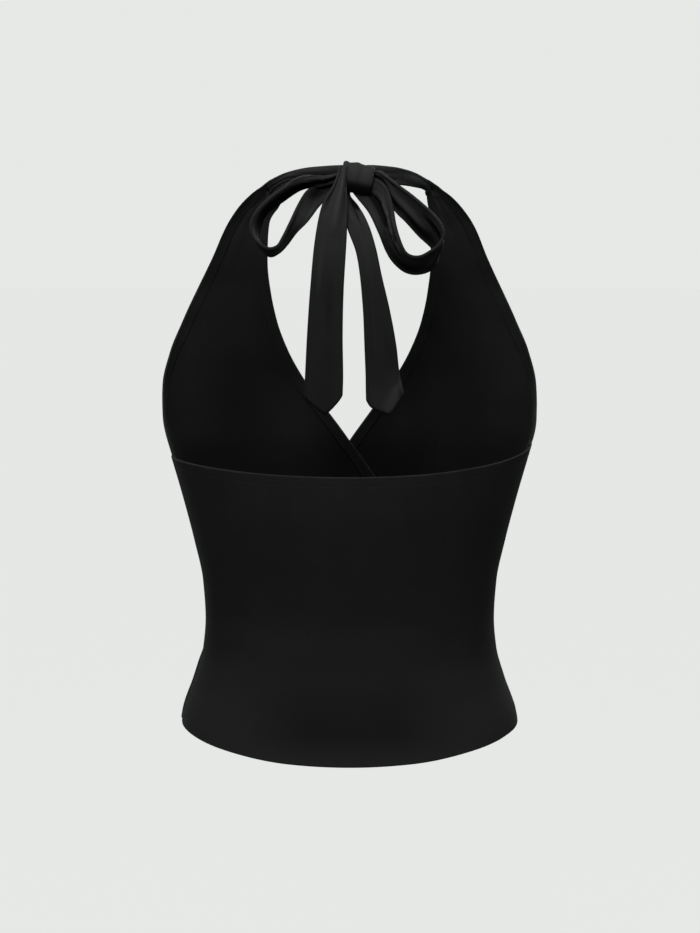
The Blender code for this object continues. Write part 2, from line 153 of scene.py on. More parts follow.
def make_floor():
    bm = bmesh.new()
    bmesh.ops.create_circle(bm, cap_ends=True, segments=FLOOR_SIDES, radius=FLOOR_RADIUS)
    bmesh.ops.translate(bm, vec=(0, 0, -FLOOR_DROP), verts=bm.verts)
    mesh = bpy.data.meshes.new("floor")
    bm.to_mesh(mesh)
    bm.free()
    floor = bpy.data.objects.new("floor", mesh)
    bpy.context.scene.collection.objects.link(floor)
    material = bpy.data.materials.new("pale floor")
    material.use_nodes = True
    tree = material.node_tree
    shader = tree.nodes["Principled BSDF"]
    shader.inputs["Base Color"].default_value = (1, 1, 1, 1)
    shader.inputs["Roughness"].default_value = FLOOR_ROUGHNESS
    shader.inputs["Specular IOR Level"].default_value = 0.0
    own_light = tree.nodes.new("ShaderNodeEmission")
    own_light.inputs["Color"].default_value = (*STUDIO_COLOUR, 1)
    mix = tree.nodes.new("ShaderNodeMixShader")
    mix.inputs["Fac"].default_value = FLOOR_OWN_LIGHT
    tree.links.new(shader.outputs["BSDF"], mix.inputs[1])
    tree.links.new(own_light.outputs["Emission"], mix.inputs[2])
    tree.links.new(mix.outputs["Shader"], tree.nodes["Material Output"].inputs["Surface"])
    mesh.materials.append(material)
    floor.visible_diffuse = False
    floor.visible_glossy = False


make_world()
for lamp in LAMPS:
    make_lamp(*lamp)
make_floor()
bpy.context.scene.view_settings.view_transform = "Standard"
print("lamps:", [lamp[0] for lamp in LAMPS])

# %% [markdown]
# ## Shader maths as Python
#
# Node trees are quick to click together and slow to read. A small class that wraps one output
# socket lets the materials below be written as formulas: `1 - mask` adds a Subtract node, and
# `node(...)` adds any other kind.


# %% Wrap a socket
class Flow:
    """One value flowing through a material's nodes, with arithmetic that adds Math nodes."""

    def __init__(self, tree, socket=None):
        self.tree = tree
        self.socket = socket

    def node(self, kind, settings=None, inputs=None, output=0):
        """Add a node: its settings first, then the values or flows that its inputs take."""
        made = self.tree.nodes.new(kind)
        for name, value in (settings or {}).items():
            setattr(made, name, value)
        for key, value in (inputs or {}).items():
            if isinstance(value, Flow):
                self.tree.links.new(value.socket, made.inputs[key])
            else:
                made.inputs[key].default_value = value
        return Flow(self.tree, made.outputs[output])

    def math(self, operation, first, second=0.0):
        return self.node("ShaderNodeMath", {"operation": operation}, {0: first, 1: second})

    def attribute(self, name):
        """A number that the piece's own mesh holds at each of its points."""
        return self.node("ShaderNodeAttribute", {"attribute_name": name}, output=2)

    def part(self, axis):
        """One number of a vector: 0, 1 and 2 are x, y and z."""
        return self.node("ShaderNodeSeparateXYZ", None, {0: self}, output=axis)

    def __add__(self, other):
        return self.math("ADD", self, other)

    __radd__ = __add__

    def __sub__(self, other):
        return self.math("SUBTRACT", self, other)

    def __rsub__(self, other):
        return self.math("SUBTRACT", other, self)

    def __mul__(self, other):
        return self.math("MULTIPLY", self, other)

    __rmul__ = __mul__

    def __abs__(self):
        return self.math("ABSOLUTE", self)

    def sine(self):
        return self.math("SINE", self)

    def fraction(self):
        return self.math("FRACT", self)

    def between(self, low, high):
        """0 below low, 1 above high and a soft step between them."""
        settings = {"interpolation_type": "SMOOTHSTEP"}
        inputs = {"Value": self, "From Min": low, "From Max": high}
        return self.node("ShaderNodeMapRange", settings, inputs)

    def mix_colour(self, dark, light):
        """This flow as the factor between two colours, each given as numbers or as a flow."""
        ends = [end if isinstance(end, Flow) else (*end, 1) for end in (dark, light)]
        inputs = {0: self, 6: ends[0], 7: ends[1]}
        return self.node("ShaderNodeMix", {"data_type": "RGBA"}, inputs, output=2)


print("a Flow adds:", [name for name in vars(Flow) if name.startswith("__") and "init" not in name])

# %% [markdown]
# ## Black jersey
#
# Jersey is knitted from one yarn in columns of V-shaped stitches. Here a column is half a
# millimetre wide, far too fine to model, so the stitches are a bump that follows the cloth through
# the piece's own UV map, whose units are metres of cloth. Black cotton jersey is not a flat black:
# it is a little paler where fibres stand up, which the sheen gives, and slightly uneven in how
# much it shines. The amounts that are the same everywhere are set on the shader itself.
#
# The colour also holds painted light and shade. A painted highlight lies on the ridges that a knot presses
# into the ties, and painted light lies on the ties near the bow, on the sides of the hips, along the hem and
# at the top of each front, where it is gathered into its tie. Painted shade lies in the bottoms of folds,
# under the knot, across the middle of the hips and on the inside, darker lower down. Folded edges are paler,
# partly as wear and partly as a painted highlight. Some renderers can find such places by themselves, but
# not all, so the meshes made below carry what the material needs: how far each point is from its turned
# edge, and how far a fold lifts it.

# %% Sizes and colours of the jersey
COLUMN_PITCH = 0.52 * MM
COURSE_PITCH = 0.42 * MM
STITCH_SLANT = 0.9
STITCH_RELIEF = 0.035 * MM
LOOP_SWELL = 0.4
PURL_LEAN = 0.22
FIBRE_RELIEF = 0.03 * MM
FIBRE_PER_METRE = 5200
CLOUD_PER_METRE = 26
STREAK_PER_METRE = (420, 9)
NOISE_MIDDLE = (0.3, 0.7)
CLOUD_SHARE = 0.6
EDGE_STITCH_LINE = 7.6 * MM
PUCKER_PITCH = 3.0 * MM
PUCKER_RELIEF = 0.16 * MM
PUCKER_REACH = 1.5 * MM
TURNED_BEHIND = (-0.9 * MM, -0.2 * MM)
OVERLOCK_REACH = 4.5 * MM
OVERLOCK_PITCH = 1.6 * MM
OVERLOCK_RELIEF = 0.08 * MM
# Painted shade: the inside and the turned edges darken from the high colour to the low one down these
# heights.
PAINTED_SHADE_HEIGHTS = (-0.26, -0.10)
INSIDE_PAINTED_SHADE = (0.0030, 0.0030, 0.0031)
INSIDE_HIGH = (0.0106, 0.0106, 0.0108)
# Painted light: the ties are paler towards the bow, between these heights.
TIE_PAINTED_LIGHT_HEIGHTS = (-0.10, -0.005)
TIE_PAINTED_LIGHT = (0.0175, 0.0175, 0.0180)
# A painted highlight on the ties' raised folds, and painted shade in their hollows and under the knot.
RIDGE_PAINTED_HIGHLIGHT = (0.034, 0.034, 0.036)
RIDGE_HIGHLIGHT_RANGE = (0.3, 2.0)
HOLLOW_PAINTED_SHADE = (0.0015, 0.0015, 0.0016)
HOLLOW_SHADE_RANGE = (-1.2, -0.15)
HOLLOW_SHADE_SHARE = 0.95
# Painted light: the top of each front, inside and on its turned edges, is paler up to its tip.
APEX_PAINTED_LIGHT_HEIGHTS = (-0.085, -0.005)
APEX_PAINTED_LIGHT = (0.034, 0.034, 0.035)
# The gathers at each front's top: a ruffle in the bump, with painted light over them and a painted highlight
# on their crests.
GATHER_HEIGHTS = (-0.032, -0.012)
GATHER_PITCH = 5.0 * MM
GATHER_WANDER = 5.0 * MM
GATHER_RELIEF = 0.12 * MM
GATHER_PAINTED_LIGHT = (0.056, 0.056, 0.057)
CREST_PAINTED_HIGHLIGHT = (0.064, 0.064, 0.065)
CREST_HIGHLIGHT_RANGE = (0.1, 0.9)
# The turned edges take the inside's painted shade and painted light, in their own colours.
TURNED_PAINTED_SHADE = (0.0032, 0.0032, 0.0033)
TURNED_HIGH = (0.0112, 0.0112, 0.0114)
# Painted shade across the middle of the hips, and painted light on their sides and along the hem.
HIP_HEIGHTS = (-0.46, -0.37)
HIP_SIDES = (0.03, 0.13)
HIP_PAINTED_LIGHT_SHARE = 0.5
HEM_LIGHT_HEIGHTS = (-0.482, -0.455)
HEM_PAINTED_LIGHT_SHARE = 0.55
SHADED_COLOUR = (0.0052, 0.0052, 0.0054)
# Folded edges are paler, partly as wear and partly as a painted highlight; the hips' sides and the hem take
# the same colour as painted light.
EDGE_WEAR_AND_HIGHLIGHT_REACH = (0.2 * MM, 1.3 * MM)
WEAR_AND_PAINTED_LIGHT = (0.017, 0.017, 0.0174)
CLOTH_SPECULAR = 0.05
CLOTH_SHEEN = 0.017
CLOTH_SHEEN_ROUGHNESS = 0.3
BODY_COLOURS = ((0.0080, 0.0080, 0.0082), (0.0100, 0.0100, 0.0103))
TIE_COLOURS = ((0.0050, 0.0050, 0.0052), (0.0066, 0.0066, 0.0068))
BODY_ROUGHNESS = (0.72, 0.84)
INSIDE_ROUGHNESS = (0.84, 0.94)
TIE_ROUGHNESS = (0.58, 0.72)
print("stitches in 10 mm:", [round(10 * MM / pitch) for pitch in (COLUMN_PITCH, COURSE_PITCH)])


# %% Relief of the knit
def knit_height(across, along):
    """The relief of plain knitting: two slanting legs to a column, one V above another."""
    column = across * (1 / COLUMN_PITCH)
    leg = abs((column * (2 * math.pi)).sine())
    from_middle = abs(column.fraction() - 0.5)
    course = along * (1 / COURSE_PITCH) + from_middle * (2 * STITCH_SLANT)
    loop = (course * (2 * math.pi)).sine() * LOOP_SWELL + (1 - LOOP_SWELL)
    return leg * loop * STITCH_RELIEF


def purl_height(across, along):
    """The relief of the wrong side: rows of low arcs that lean to and fro with the columns."""
    column = across * (1 / COLUMN_PITCH)
    row = along * (1 / COURSE_PITCH) + (column * (2 * math.pi)).sine() * PURL_LEAN
    return abs((row * math.pi).sine()) * STITCH_RELIEF


def sewn_height(flow, from_edge):
    """Puckers along a row of stitches, and the loops that bind a raw edge."""
    edge_run = flow.attribute("edge_run")
    line = 1 - (abs(abs(from_edge) - EDGE_STITCH_LINE)).between(0, PUCKER_REACH)
    pucker = line * ((edge_run * (2 * math.pi / PUCKER_PITCH)).sine() * 0.5 - 0.5)
    from_raw_edge = from_edge + flow.attribute("hem_depth")
    overlocked = 1 - from_raw_edge.between(OVERLOCK_REACH, OVERLOCK_REACH + MM)
    loops = abs((edge_run * (math.pi / OVERLOCK_PITCH)).sine())
    return pucker * PUCKER_RELIEF + overlocked * loops * OVERLOCK_RELIEF


print("relief of a stitch and of a pucker, in mm:", STITCH_RELIEF / MM, "and", PUCKER_RELIEF / MM)


# %% Colours of the ties, the outside and the inside
# The ties' colour holds painted light near the bow, a painted highlight on raised folds and painted shade in
# hollows.
def tie_colour(flow, colour, up):
    fold = flow.attribute("fold")
    colour = up.between(*TIE_PAINTED_LIGHT_HEIGHTS).mix_colour(colour, TIE_PAINTED_LIGHT)
    colour = fold.between(*RIDGE_HIGHLIGHT_RANGE).mix_colour(colour, RIDGE_PAINTED_HIGHLIGHT)
    # Painted shade in the hollows of the folds and under the knot.
    sunk = (1 - fold.between(*HOLLOW_SHADE_RANGE)) * HOLLOW_SHADE_SHARE
    return sunk.mix_colour(colour, HOLLOW_PAINTED_SHADE)


def inside_colour(up, low, high):
    """The inner side's colour: painted shade darkens it down the garment, and painted light makes it palest
    at a front's tip.
    """
    shaded_inside = up.between(*PAINTED_SHADE_HEIGHTS).mix_colour(low, high)
    return up.between(*APEX_PAINTED_LIGHT_HEIGHTS).mix_colour(shaded_inside, APEX_PAINTED_LIGHT)


# The outside: painted shade across the middle of the hips, painted light on their sides and along the hem,
# and the inside's colours on the turned edges.
def outside_colour(colour, up, sideways, from_edge):
    hips = 1 - up.between(*HIP_HEIGHTS)
    beside = abs(sideways).between(*HIP_SIDES)
    colour = (hips * (1 - beside)).mix_colour(colour, SHADED_COLOUR)
    colour = (hips * beside * HIP_PAINTED_LIGHT_SHARE).mix_colour(colour, WEAR_AND_PAINTED_LIGHT)
    colour = ((1 - up.between(*HEM_LIGHT_HEIGHTS)) * HEM_PAINTED_LIGHT_SHARE).mix_colour(colour, WEAR_AND_PAINTED_LIGHT)
    turned = 1 - from_edge.between(*TURNED_BEHIND)
    return turned.mix_colour(colour, inside_colour(up, TURNED_PAINTED_SHADE, TURNED_HIGH))


# The raised fold's paler colour is a painted highlight.
print("a raised fold is", round(RIDGE_PAINTED_HIGHLIGHT[0] / TIE_COLOURS[1][0]), "times as pale as its tie")


# %% Jersey material
def new_shader(name):
    material = bpy.data.materials.new(name)
    material.use_nodes = True
    return material, material.node_tree.nodes["Principled BSDF"], Flow(material.node_tree)


def plug_in(shader, colour, rough, bump):
    for name, value in (("Base Color", colour), ("Roughness", rough), ("Normal", bump)):
        value.tree.links.new(value.socket, shader.inputs[name])


def jersey(name, colours, roughness, use):
    material, shader, flow = new_shader(name)
    cloth_map = flow.node("ShaderNodeUVMap", {"uv_map": "cloth"})
    place = flow.node("ShaderNodeTexCoord", output=3)
    across, along, up = cloth_map.part(0), cloth_map.part(1), place.part(2)
    from_edge = flow.attribute("from_edge")

    clouds = {"Vector": place, "Scale": CLOUD_PER_METRE, "Detail": 3.0}
    cloud = flow.node("ShaderNodeTexNoise", None, clouds)
    stretch = {0: cloth_map, 1: (*STREAK_PER_METRE, 0)}
    stretched = flow.node("ShaderNodeVectorMath", {"operation": "MULTIPLY"}, stretch)
    streak = flow.node("ShaderNodeTexNoise", None, {"Vector": stretched, "Scale": 1.0, "Detail": 2.0})
    fibres = {"Vector": place, "Scale": FIBRE_PER_METRE, "Detail": 1.0}
    fibre = flow.node("ShaderNodeTexNoise", None, fibres)
    wear = cloud.between(*NOISE_MIDDLE) * CLOUD_SHARE + streak.between(*NOISE_MIDDLE) * (1 - CLOUD_SHARE)

    knit = purl_height(across, along) if use == "inside" else knit_height(across, along)
    height = knit + fibre * FIBRE_RELIEF + sewn_height(flow, from_edge)
    if use == "tie":
        colour = tie_colour(flow, wear.mix_colour(*colours), up)
    elif use == "body":
        colour = outside_colour(wear.mix_colour(*colours), up, place.part(0), from_edge)
    else:
        # Gathers at the top of the inside: a real ruffle in the bump, painted light over them and a painted
        # highlight on their crests.
        gathered = up.between(*GATHER_HEIGHTS)
        ruffle = ((across + cloud * GATHER_WANDER) * (2 * math.pi / GATHER_PITCH)).sine()
        height = height + gathered * ruffle * GATHER_RELIEF
        colour = gathered.mix_colour(inside_colour(up, *colours), GATHER_PAINTED_LIGHT)
        colour = (gathered * ruffle.between(*CREST_HIGHLIGHT_RANGE)).mix_colour(colour, CREST_PAINTED_HIGHLIGHT)
    # Folded edges are paler: partly wear, partly a painted highlight of the light rim they catch.
    edge_wear_and_highlight = (1 - abs(from_edge).between(*EDGE_WEAR_AND_HIGHLIGHT_REACH)) * wear
    colour = edge_wear_and_highlight.mix_colour(colour, WEAR_AND_PAINTED_LIGHT)
    rough = wear * (roughness[1] - roughness[0]) + roughness[0]
    bump = flow.node("ShaderNodeBump", None, {"Strength": 1.0, "Distance": 1.0, "Height": height})

    plug_in(shader, colour, rough, bump)
    shader.inputs["Specular IOR Level"].default_value = CLOTH_SPECULAR
    shader.inputs["Sheen Weight"].default_value = CLOTH_SHEEN
    shader.inputs["Sheen Roughness"].default_value = CLOTH_SHEEN_ROUGHNESS
    return material


BODY_JERSEY = jersey("black jersey", BODY_COLOURS, BODY_ROUGHNESS, "body")
INSIDE_JERSEY = jersey("wrong side of the jersey", (INSIDE_PAINTED_SHADE, INSIDE_HIGH), INSIDE_ROUGHNESS, "inside")
TIE_JERSEY = jersey("jersey of the ties", TIE_COLOURS, TIE_ROUGHNESS, "tie")
print("materials:", BODY_JERSEY.name, "/", INSIDE_JERSEY.name, "/", TIE_JERSEY.name)

# %% [markdown]
# ## Sewing thread
#
# Thread is spun polyester: as black as the cloth but smoother, so a row of stitches shows as small
# glints. Its twist is a bump along each stitch.

# %% Thread material
THREAD_RADIUS = 0.16 * MM
THREAD_TWIST_PER_METRE = 3600
THREAD_COLOURS = ((0.007, 0.007, 0.0073), (0.0105, 0.0105, 0.011))
THREAD_ROUGHNESS = (0.5, 0.7)
THREAD_SPECULAR = 0.15


def thread_material():
    material, shader, flow = new_shader("black thread")
    place = flow.node("ShaderNodeTexCoord", output=3)
    twist = flow.node("ShaderNodeTexNoise", None, {"Vector": place, "Scale": THREAD_TWIST_PER_METRE})
    rough = twist * (THREAD_ROUGHNESS[1] - THREAD_ROUGHNESS[0]) + THREAD_ROUGHNESS[0]
    bump = flow.node("ShaderNodeBump", None, {"Distance": 1.0, "Height": twist * THREAD_RADIUS})
    plug_in(shader, twist.mix_colour(*THREAD_COLOURS), rough, bump)
    shader.inputs["Specular IOR Level"].default_value = THREAD_SPECULAR
    return material


THREAD = thread_material()
print("thread is", round(2 * THREAD_RADIUS / MM, 2), "mm thick")

# %% [markdown]
# ## The garment's sizes
#
# A top on a figure has no straight lines to measure, so its shape is held by short tables of
# sections: how wide and how deep the cloth stands at each drop below the nape, in millimetres.
# They are the sizes that the solids were made from, so that the cloth lies where they are.

# %% Sizes of the torso
SIDE_PLANE_Y = -48 * MM
LAYER_PITCH = 2.2 * MM
CUP_DEPTH = 15 * MM
CUP_CENTRE_X = 78 * MM
CUP_CENTRE_Z = -195 * MM
CUP_REACH_X = 50 * MM
CUP_REACH_Z = 48 * MM
BACK_SQUARENESS = 0.94
RIGHT_SIDE_EXTRA = 0.6
SEAM_TOP_DROP = {"left": 234.5, "right": 223}
ARMHOLE_COMMON_DROP = 150
APEX_DROP = 2
WAIST_DROP = 375
HEM_DROP = 466.4
HEM_HEIGHT = 18 * MM

FRONT_NAMES = (
    "outer_drop", "outer_x", "outer_depth", "inner_drop", "inner_x", "inner_depth", "roundness", "hump",
    "right_extra",
)
FRONT_STATIONS = (
    (2, 66, 16, 9, 64.5, 2, 0, 0, 0),
    (11, 79.5, 4, 18.5, 66.5, -13, 0, 1, 0.6),
    (22, 93, -14, 31, 69.2, -30, 0.05, 2, 1),
    (38.5, 106, -36, 48, 71.3, -47, 0.1, 3, 1.6),
    (68, 121.3, -60, 73, 72.3, -65, 0.2, 5, 0.8),
    (95, 135.4, -69, 98, 70.1, -78, 0.3, 6, 0.2),
    (122, 148.2, -68, 124, 65.2, -89, 0.5, 6, 0),
    (149, 158.8, -58, 150.5, 55.8, -97, 0.75, 5, 0),
    (176, 164, -41, 178, 41, -103, 0.9, 3, -0.4),
    (204, 161.8, -19, 206, 20.3, -104.5, 1, 0, -0.2),
    (234.5, 152.4, 0, 233.5, 0, -101, 1, 0, RIGHT_SIDE_EXTRA),
    (269, 142.8, 0, 269, 0, -97.5, 1, 0, RIGHT_SIDE_EXTRA),
    (309, 132.9, 0, 310, 0, -93.5, 1, 0, RIGHT_SIDE_EXTRA),
    (342, 126.3, 0, 344, 0, -91.5, 1, 0, RIGHT_SIDE_EXTRA),
    (375, 124.4, 0, 379, 0, -91, 1, 0, RIGHT_SIDE_EXTRA),
    (401, 126.6, 0, 407, 0, -93.5, 1, 0, RIGHT_SIDE_EXTRA),
    (428, 134, 0, 437, 0, -98.5, 1, 0, RIGHT_SIDE_EXTRA),
    (455, 143.6, 0, 467, 0, -105, 1, 0, RIGHT_SIDE_EXTRA),
    (466.4, 145.8, 0, 480, 0, -108, 1, 0, RIGHT_SIDE_EXTRA),
)
WRAP_NAMES = ("outer_drop", "share")
WRAP_EDGE = (
    (2, 0), (234.5, 0), (249, 0.047), (264.5, 0.10), (300, 0.24), (335, 0.41), (370, 0.62), (400, 0.85),
    (417, 1), (466.4, 1),
)
BACK_NAMES = ("drop", "half_width", "back_depth")
BACK_SECTIONS = (
    (215, 158, 97),
    (234.5, 152.4, 96.5),
    (269, 142.8, 93),
    (309, 132.9, 85),
    (342, 126.3, 78),
    (375, 124.4, 74),
    (401, 126.6, 76),
    (428, 134, 83),
    (455, 143.6, 91.5),
    (466.4, 145.8, 95),
    (482, 146.5, 98),
)
BACK_EDGE_NAMES = ("around", "top_drop", "hem_drop")
BACK_EDGES = (
    (0, 234.5, 466.4),
    (0.1, 235, 468.5),
    (0.25, 238, 474.5),
    (0.4, 241.2, 480.3),
    (0.5, 242, 481.5),
    (0.6, 241, 480.3),
    (0.75, 236, 474.5),
    (0.9, 228.5, 468.5),
    (1, 223, 466.4),
)


def read_table(names, rows):
    """Turn a table's rows into one list of numbers for each named column."""
    return {name: [row[index] for row in rows] for index, name in enumerate(names)}


FRONT = read_table(FRONT_NAMES, FRONT_STATIONS)
WRAP = read_table(WRAP_NAMES, WRAP_EDGE)
BACK = read_table(BACK_NAMES, BACK_SECTIONS)
BACK_EDGE = read_table(BACK_EDGE_NAMES, BACK_EDGES)
print("nape to back hem, in mm:", max(BACK_EDGE["hem_drop"]))

# %% [markdown]
# ## Smooth curves through a table
#
# Straight lines between sections would crease the cloth at each of them. Cubic spans whose slopes
# come from both neighbours run smoothly through the numbers. The torso uses slopes that never
# overshoot, and the loose ties use plain ones, which swing a little wider as real bands do.


# %% Read between rows
def cubic(keys, values, key, slope_at):
    """The cubic span between two rows that holds this key."""
    if key <= keys[0]:
        return values[0]
    if key >= keys[-1]:
        return values[-1]
    span = max(index for index in range(len(keys) - 1) if keys[index] <= key)
    width = keys[span + 1] - keys[span]
    t = (key - keys[span]) / width
    start = (1 + 2 * t) * (1 - t) ** 2 * values[span]
    leave = t * (1 - t) ** 2 * width * slope_at(span)
    end = t * t * (3 - 2 * t) * values[span + 1]
    arrive = t * t * (t - 1) * width * slope_at(span + 1)
    return start + leave + end + arrive


def calm_value(keys, values, key, keen=False):
    """A curve that never overshoots: its slope is 0 at a peak and a harmonic mean elsewhere.

    A keen one meets a level stretch at an angle, and never leaves the table's range.
    """

    def chord(index):
        return (values[index + 1] - values[index]) / (keys[index + 1] - keys[index])

    def slope_at(index):
        before = chord(max(index - 1, 0))
        after = chord(min(index, len(keys) - 2))
        if keen and before * after == 0:
            return before + after
        return 0.0 if before * after <= 0 else 2 * before * after / (before + after)

    value = cubic(keys, values, key, slope_at)
    return min(max(value, min(values)), max(values)) if keen else value


def free_value(keys, values, key):
    """A curve with the slope of its two neighbours, which may swing a little past a row."""

    def slope_at(index):
        low = max(index - 1, 0)
        high = min(index + 1, len(keys) - 1)
        return (values[high] - values[low]) / (keys[high] - keys[low])

    return cubic(keys, values, key, slope_at)


def soft_step(low, high, value):
    """0 below low, 1 above high and a soft step between them."""
    share = min(max((value - low) / (high - low), 0.0), 1.0)
    return share * share * (3 - 2 * share)


@functools.lru_cache(maxsize=None)
def front_row(drop):
    keys = FRONT["outer_drop"]
    row = {name: calm_value(keys, values, drop) for name, values in FRONT.items()}
    row["inner_x"] = calm_value(keys, FRONT["inner_x"], drop, keen=True)
    return row


@functools.lru_cache(maxsize=None)
def back_row(drop):
    return {name: calm_value(BACK["drop"], values, drop) for name, values in BACK.items()}


@functools.lru_cache(maxsize=None)
def back_edge(around):
    return {name: calm_value(BACK_EDGE["around"], values, around) for name, values in BACK_EDGE.items()}


print("half width at the waist, in mm:", round(front_row(WAIST_DROP)["outer_x"], 1))

# %% [markdown]
# ## Creases
#
# Worn jersey stretches smoothly over the body, so its creases are few, long and soft. Each one is
# a row in a table: across and along where it starts, across and along where it ends, how wide it
# is, and how far it stands out (or sinks, if negative), all in millimetres. A crease swells in from
# both ends, and several may cross.

# %% Crease relief
CREASE_END_SHARPNESS = 0.6


def crease_relief(creases, across, along):
    """How far the creases lift the cloth at a point given in millimetres."""
    relief = 0.0
    for from_across, from_along, to_across, to_along, width, depth in creases:
        run_across = to_across - from_across
        run_along = to_along - from_along
        offset_across = across - from_across
        offset_along = along - from_along
        run = run_across**2 + run_along**2
        share = (offset_across * run_across + offset_along * run_along) / run
        share = min(max(share, 0.0), 1.0)
        beside = (offset_across - run_across * share) ** 2 + (offset_along - run_along * share) ** 2
        swell = math.sin(math.pi * share) ** CREASE_END_SHARPNESS if 0 < share < 1 else 0.0
        relief += depth * swell * math.exp(-beside / width**2)
    return relief * MM


LONE_CREASE = (0, 0, 100, 0, 8, 1)
print("8 mm beside a crease 1 mm high, in mm:", round(crease_relief([LONE_CREASE], 50, 8) / MM, 2))

# %% [markdown]
# ## Cloth with turned edges
#
# A cut edge of jersey curls and runs, so a maker turns every edge: the cloth goes round a tight
# fold and lies back inside for eight millimetres, or eighteen at the hem. At a side seam each
# panel's allowance is turned in the same way and the two folds meet, which is the fine groove that
# a seam shows. A Solidify modifier alone would give square edges, so here the sheet itself is
# taken round the fold. Every row and column of a grid is a stop: on the flat cloth, on the bend or
# on the turned part.

# %% Stops across a turned edge
CLOTH = 0.8 * MM
FOLD_RADIUS = 0.47 * MM
FRONT_HEM_RADIUS = 1.7 * MM
TURN_WIDTH = 8.4 * MM
TURNED_SHARES = (1.0, 0.97, 0.72, 0.48, 0.25, 0.08)
BEND_ANGLES = (180, 150, 120, 90, 60, 30)
FLAT_STEPS = (0, 0.6, 1.6, 3.2, 5.0, 6.2, 6.9, 7.6, 8.3, 9.0, 10.4, 13)


def turned_stops(turn_width, radius):
    """The stops from the raw edge, round the fold and on to the flat cloth beside it."""
    stops = [("turned", turn_width * share) for share in TURNED_SHARES]
    stops += [("bend", math.radians(angle)) for angle in BEND_ANGLES]
    stops += [("flat", radius + step * MM) for step in FLAT_STEPS]
    return stops


def stop_offsets(stop, radius):
    """For one stop: how far in from the edge, how far past the bend's start, how far inside."""
    part, value = stop
    if part == "flat":
        return value, 0.0, 0.0
    if part == "bend":
        return radius, radius * math.sin(value), radius * (1 - math.cos(value))
    return radius + value, 0.0, 2 * radius


def edge_distance(stop, radius):
    """Signed way from the fold along the cloth: inside the turn it is below zero."""
    part, value = stop
    if part == "flat":
        return value
    if part == "bend":
        return radius * (1 - 2 * value / math.pi)
    return -radius - value


print("stops across one turned edge:", len(turned_stops(TURN_WIDTH, FOLD_RADIUS)))

# %% [markdown]
# ## From a surface to a sheet
#
# The next helper takes any smooth surface, given as a function of two shares from 0 to 1, and lays
# a `create_grid` mesh over it with all its turned edges. It also writes the cloth's own map in
# metres, for the knit, and how far each point is from its edge, for the puckers along a seam.

# %% Build a panel
SMALL_SHARE = 0.002
FAR_FROM_EDGE = 1.0
FULL_STOPS_WIDTH = 31 * MM


def unit(vector):
    return vector.normalized() if vector.length > 0 else Vector((0, 0, 1))


def narrowing(surface, along):
    """Where a panel is narrower than its two edges' stops, they draw together by this share."""
    width = (surface(1.0, along)[0] - surface(0.0, along)[0]).length
    return min(1.0, width / FULL_STOPS_WIDTH)


def side_frame(surface, edge, along):
    """At a side edge: how much across a metre of cloth is, and the way in from the edge."""
    here, inside = (0.0, SMALL_SHARE) if edge == "start" else (1.0, 1 - SMALL_SHARE)
    step = surface(inside, along)[0] - surface(here, along)[0]
    low, high = max(along - SMALL_SHARE, 0), min(along + SMALL_SHARE, 1)
    tangent = unit(surface(here, high)[0] - surface(here, low)[0])
    inward = unit(step - tangent * step.dot(tangent))
    return SMALL_SHARE / max(step.dot(inward), 1e-7), inward


def new_grid(columns, rows):
    """A flat grid, and the column and row of each of its points."""
    bm = bmesh.new()
    bmesh.ops.create_grid(bm, x_segments=columns, y_segments=rows, size=1)
    places = [((vertex.co.x + 1) / 2 * columns, (1 - vertex.co.y) / 2 * rows) for vertex in bm.verts]
    return bm, [(round(column), round(row)) for column, row in places]


def sew_sheet(name, surface, across_stops, along_stops, radii, stitched=()):
    """Lay a grid over surface(across, along) -> (point, outward), and turn its edges.

    A stop is (edge, part, value): edge is "start" or "end" for what is measured in from a side,
    "top" or "bottom" likewise, and "middle" for a share between the two edges' last stops.
    """

    @functools.lru_cache(maxsize=None)
    def at(across, along):
        return surface(min(max(across, 0.0), 1.0), min(max(along, 0.0), 1.0))

    @functools.lru_cache(maxsize=None)
    def edge_frame(edge, along):
        return side_frame(at, edge, along)

    @functools.lru_cache(maxsize=None)
    def share_in(edge, along, distance):
        share = distance * (edge_frame(edge, along)[0] * narrowing(at, along))
        return share if edge == "start" else 1 - share

    middles = [index for index, stop in enumerate(across_stops) if stop[0] == "middle"]
    before_middle = across_stops[middles[0] - 1][2]
    after_middle = across_stops[middles[-1] + 1][2]
    height = (at(0.5, 1.0)[0] - at(0.5, 0.5)[0]).length * 2

    def across_of(stop, along):
        """The share across, the sideways shift and the depth inside for one column's stop."""
        edge, part, value = stop
        if edge == "middle":
            start = share_in("start", along, before_middle)
            end = share_in("end", along, after_middle)
            return start + (end - start) * value, Vector(), 0.0
        distance, past, depth = stop_offsets((part, value), radii[edge])
        return share_in(edge, along, distance), edge_frame(edge, along)[1] * -past, depth

    def along_of(stop):
        """The share down, how far past the last flat cloth and how deep inside for one row's stop."""
        edge, part, value = stop
        if edge == "middle":
            return value, 0.0, 0.0
        distance, past, depth = stop_offsets((part, value), radii[edge])
        share = distance / height
        return (share if edge == "top" else 1 - share), past, depth

    def place(column, row):
        edge = along_stops[row][0]
        share, past, depth = along_of(along_stops[row])
        across, shift, inside = across_of(across_stops[column], share)
        point, outward = at(across, share)
        base = point + shift - outward * (inside + depth)
        if past == 0:
            return base
        step = SMALL_SHARE if edge == "top" else -SMALL_SHARE
        way_out = unit(point - at(across, share + step)[0])
        way_out = unit(way_out - outward * way_out.dot(outward))
        return base + way_out * past

    bm, spots = new_grid(len(across_stops) - 1, len(along_stops) - 1)
    for vertex in bm.verts:
        vertex.co = place(*spots[vertex.index])
    write_maps(bm, spots, across_stops, along_stops, radii, stitched)
    turn_outwards(bm)
    return finish_sheet(name, bm, CLOTH)


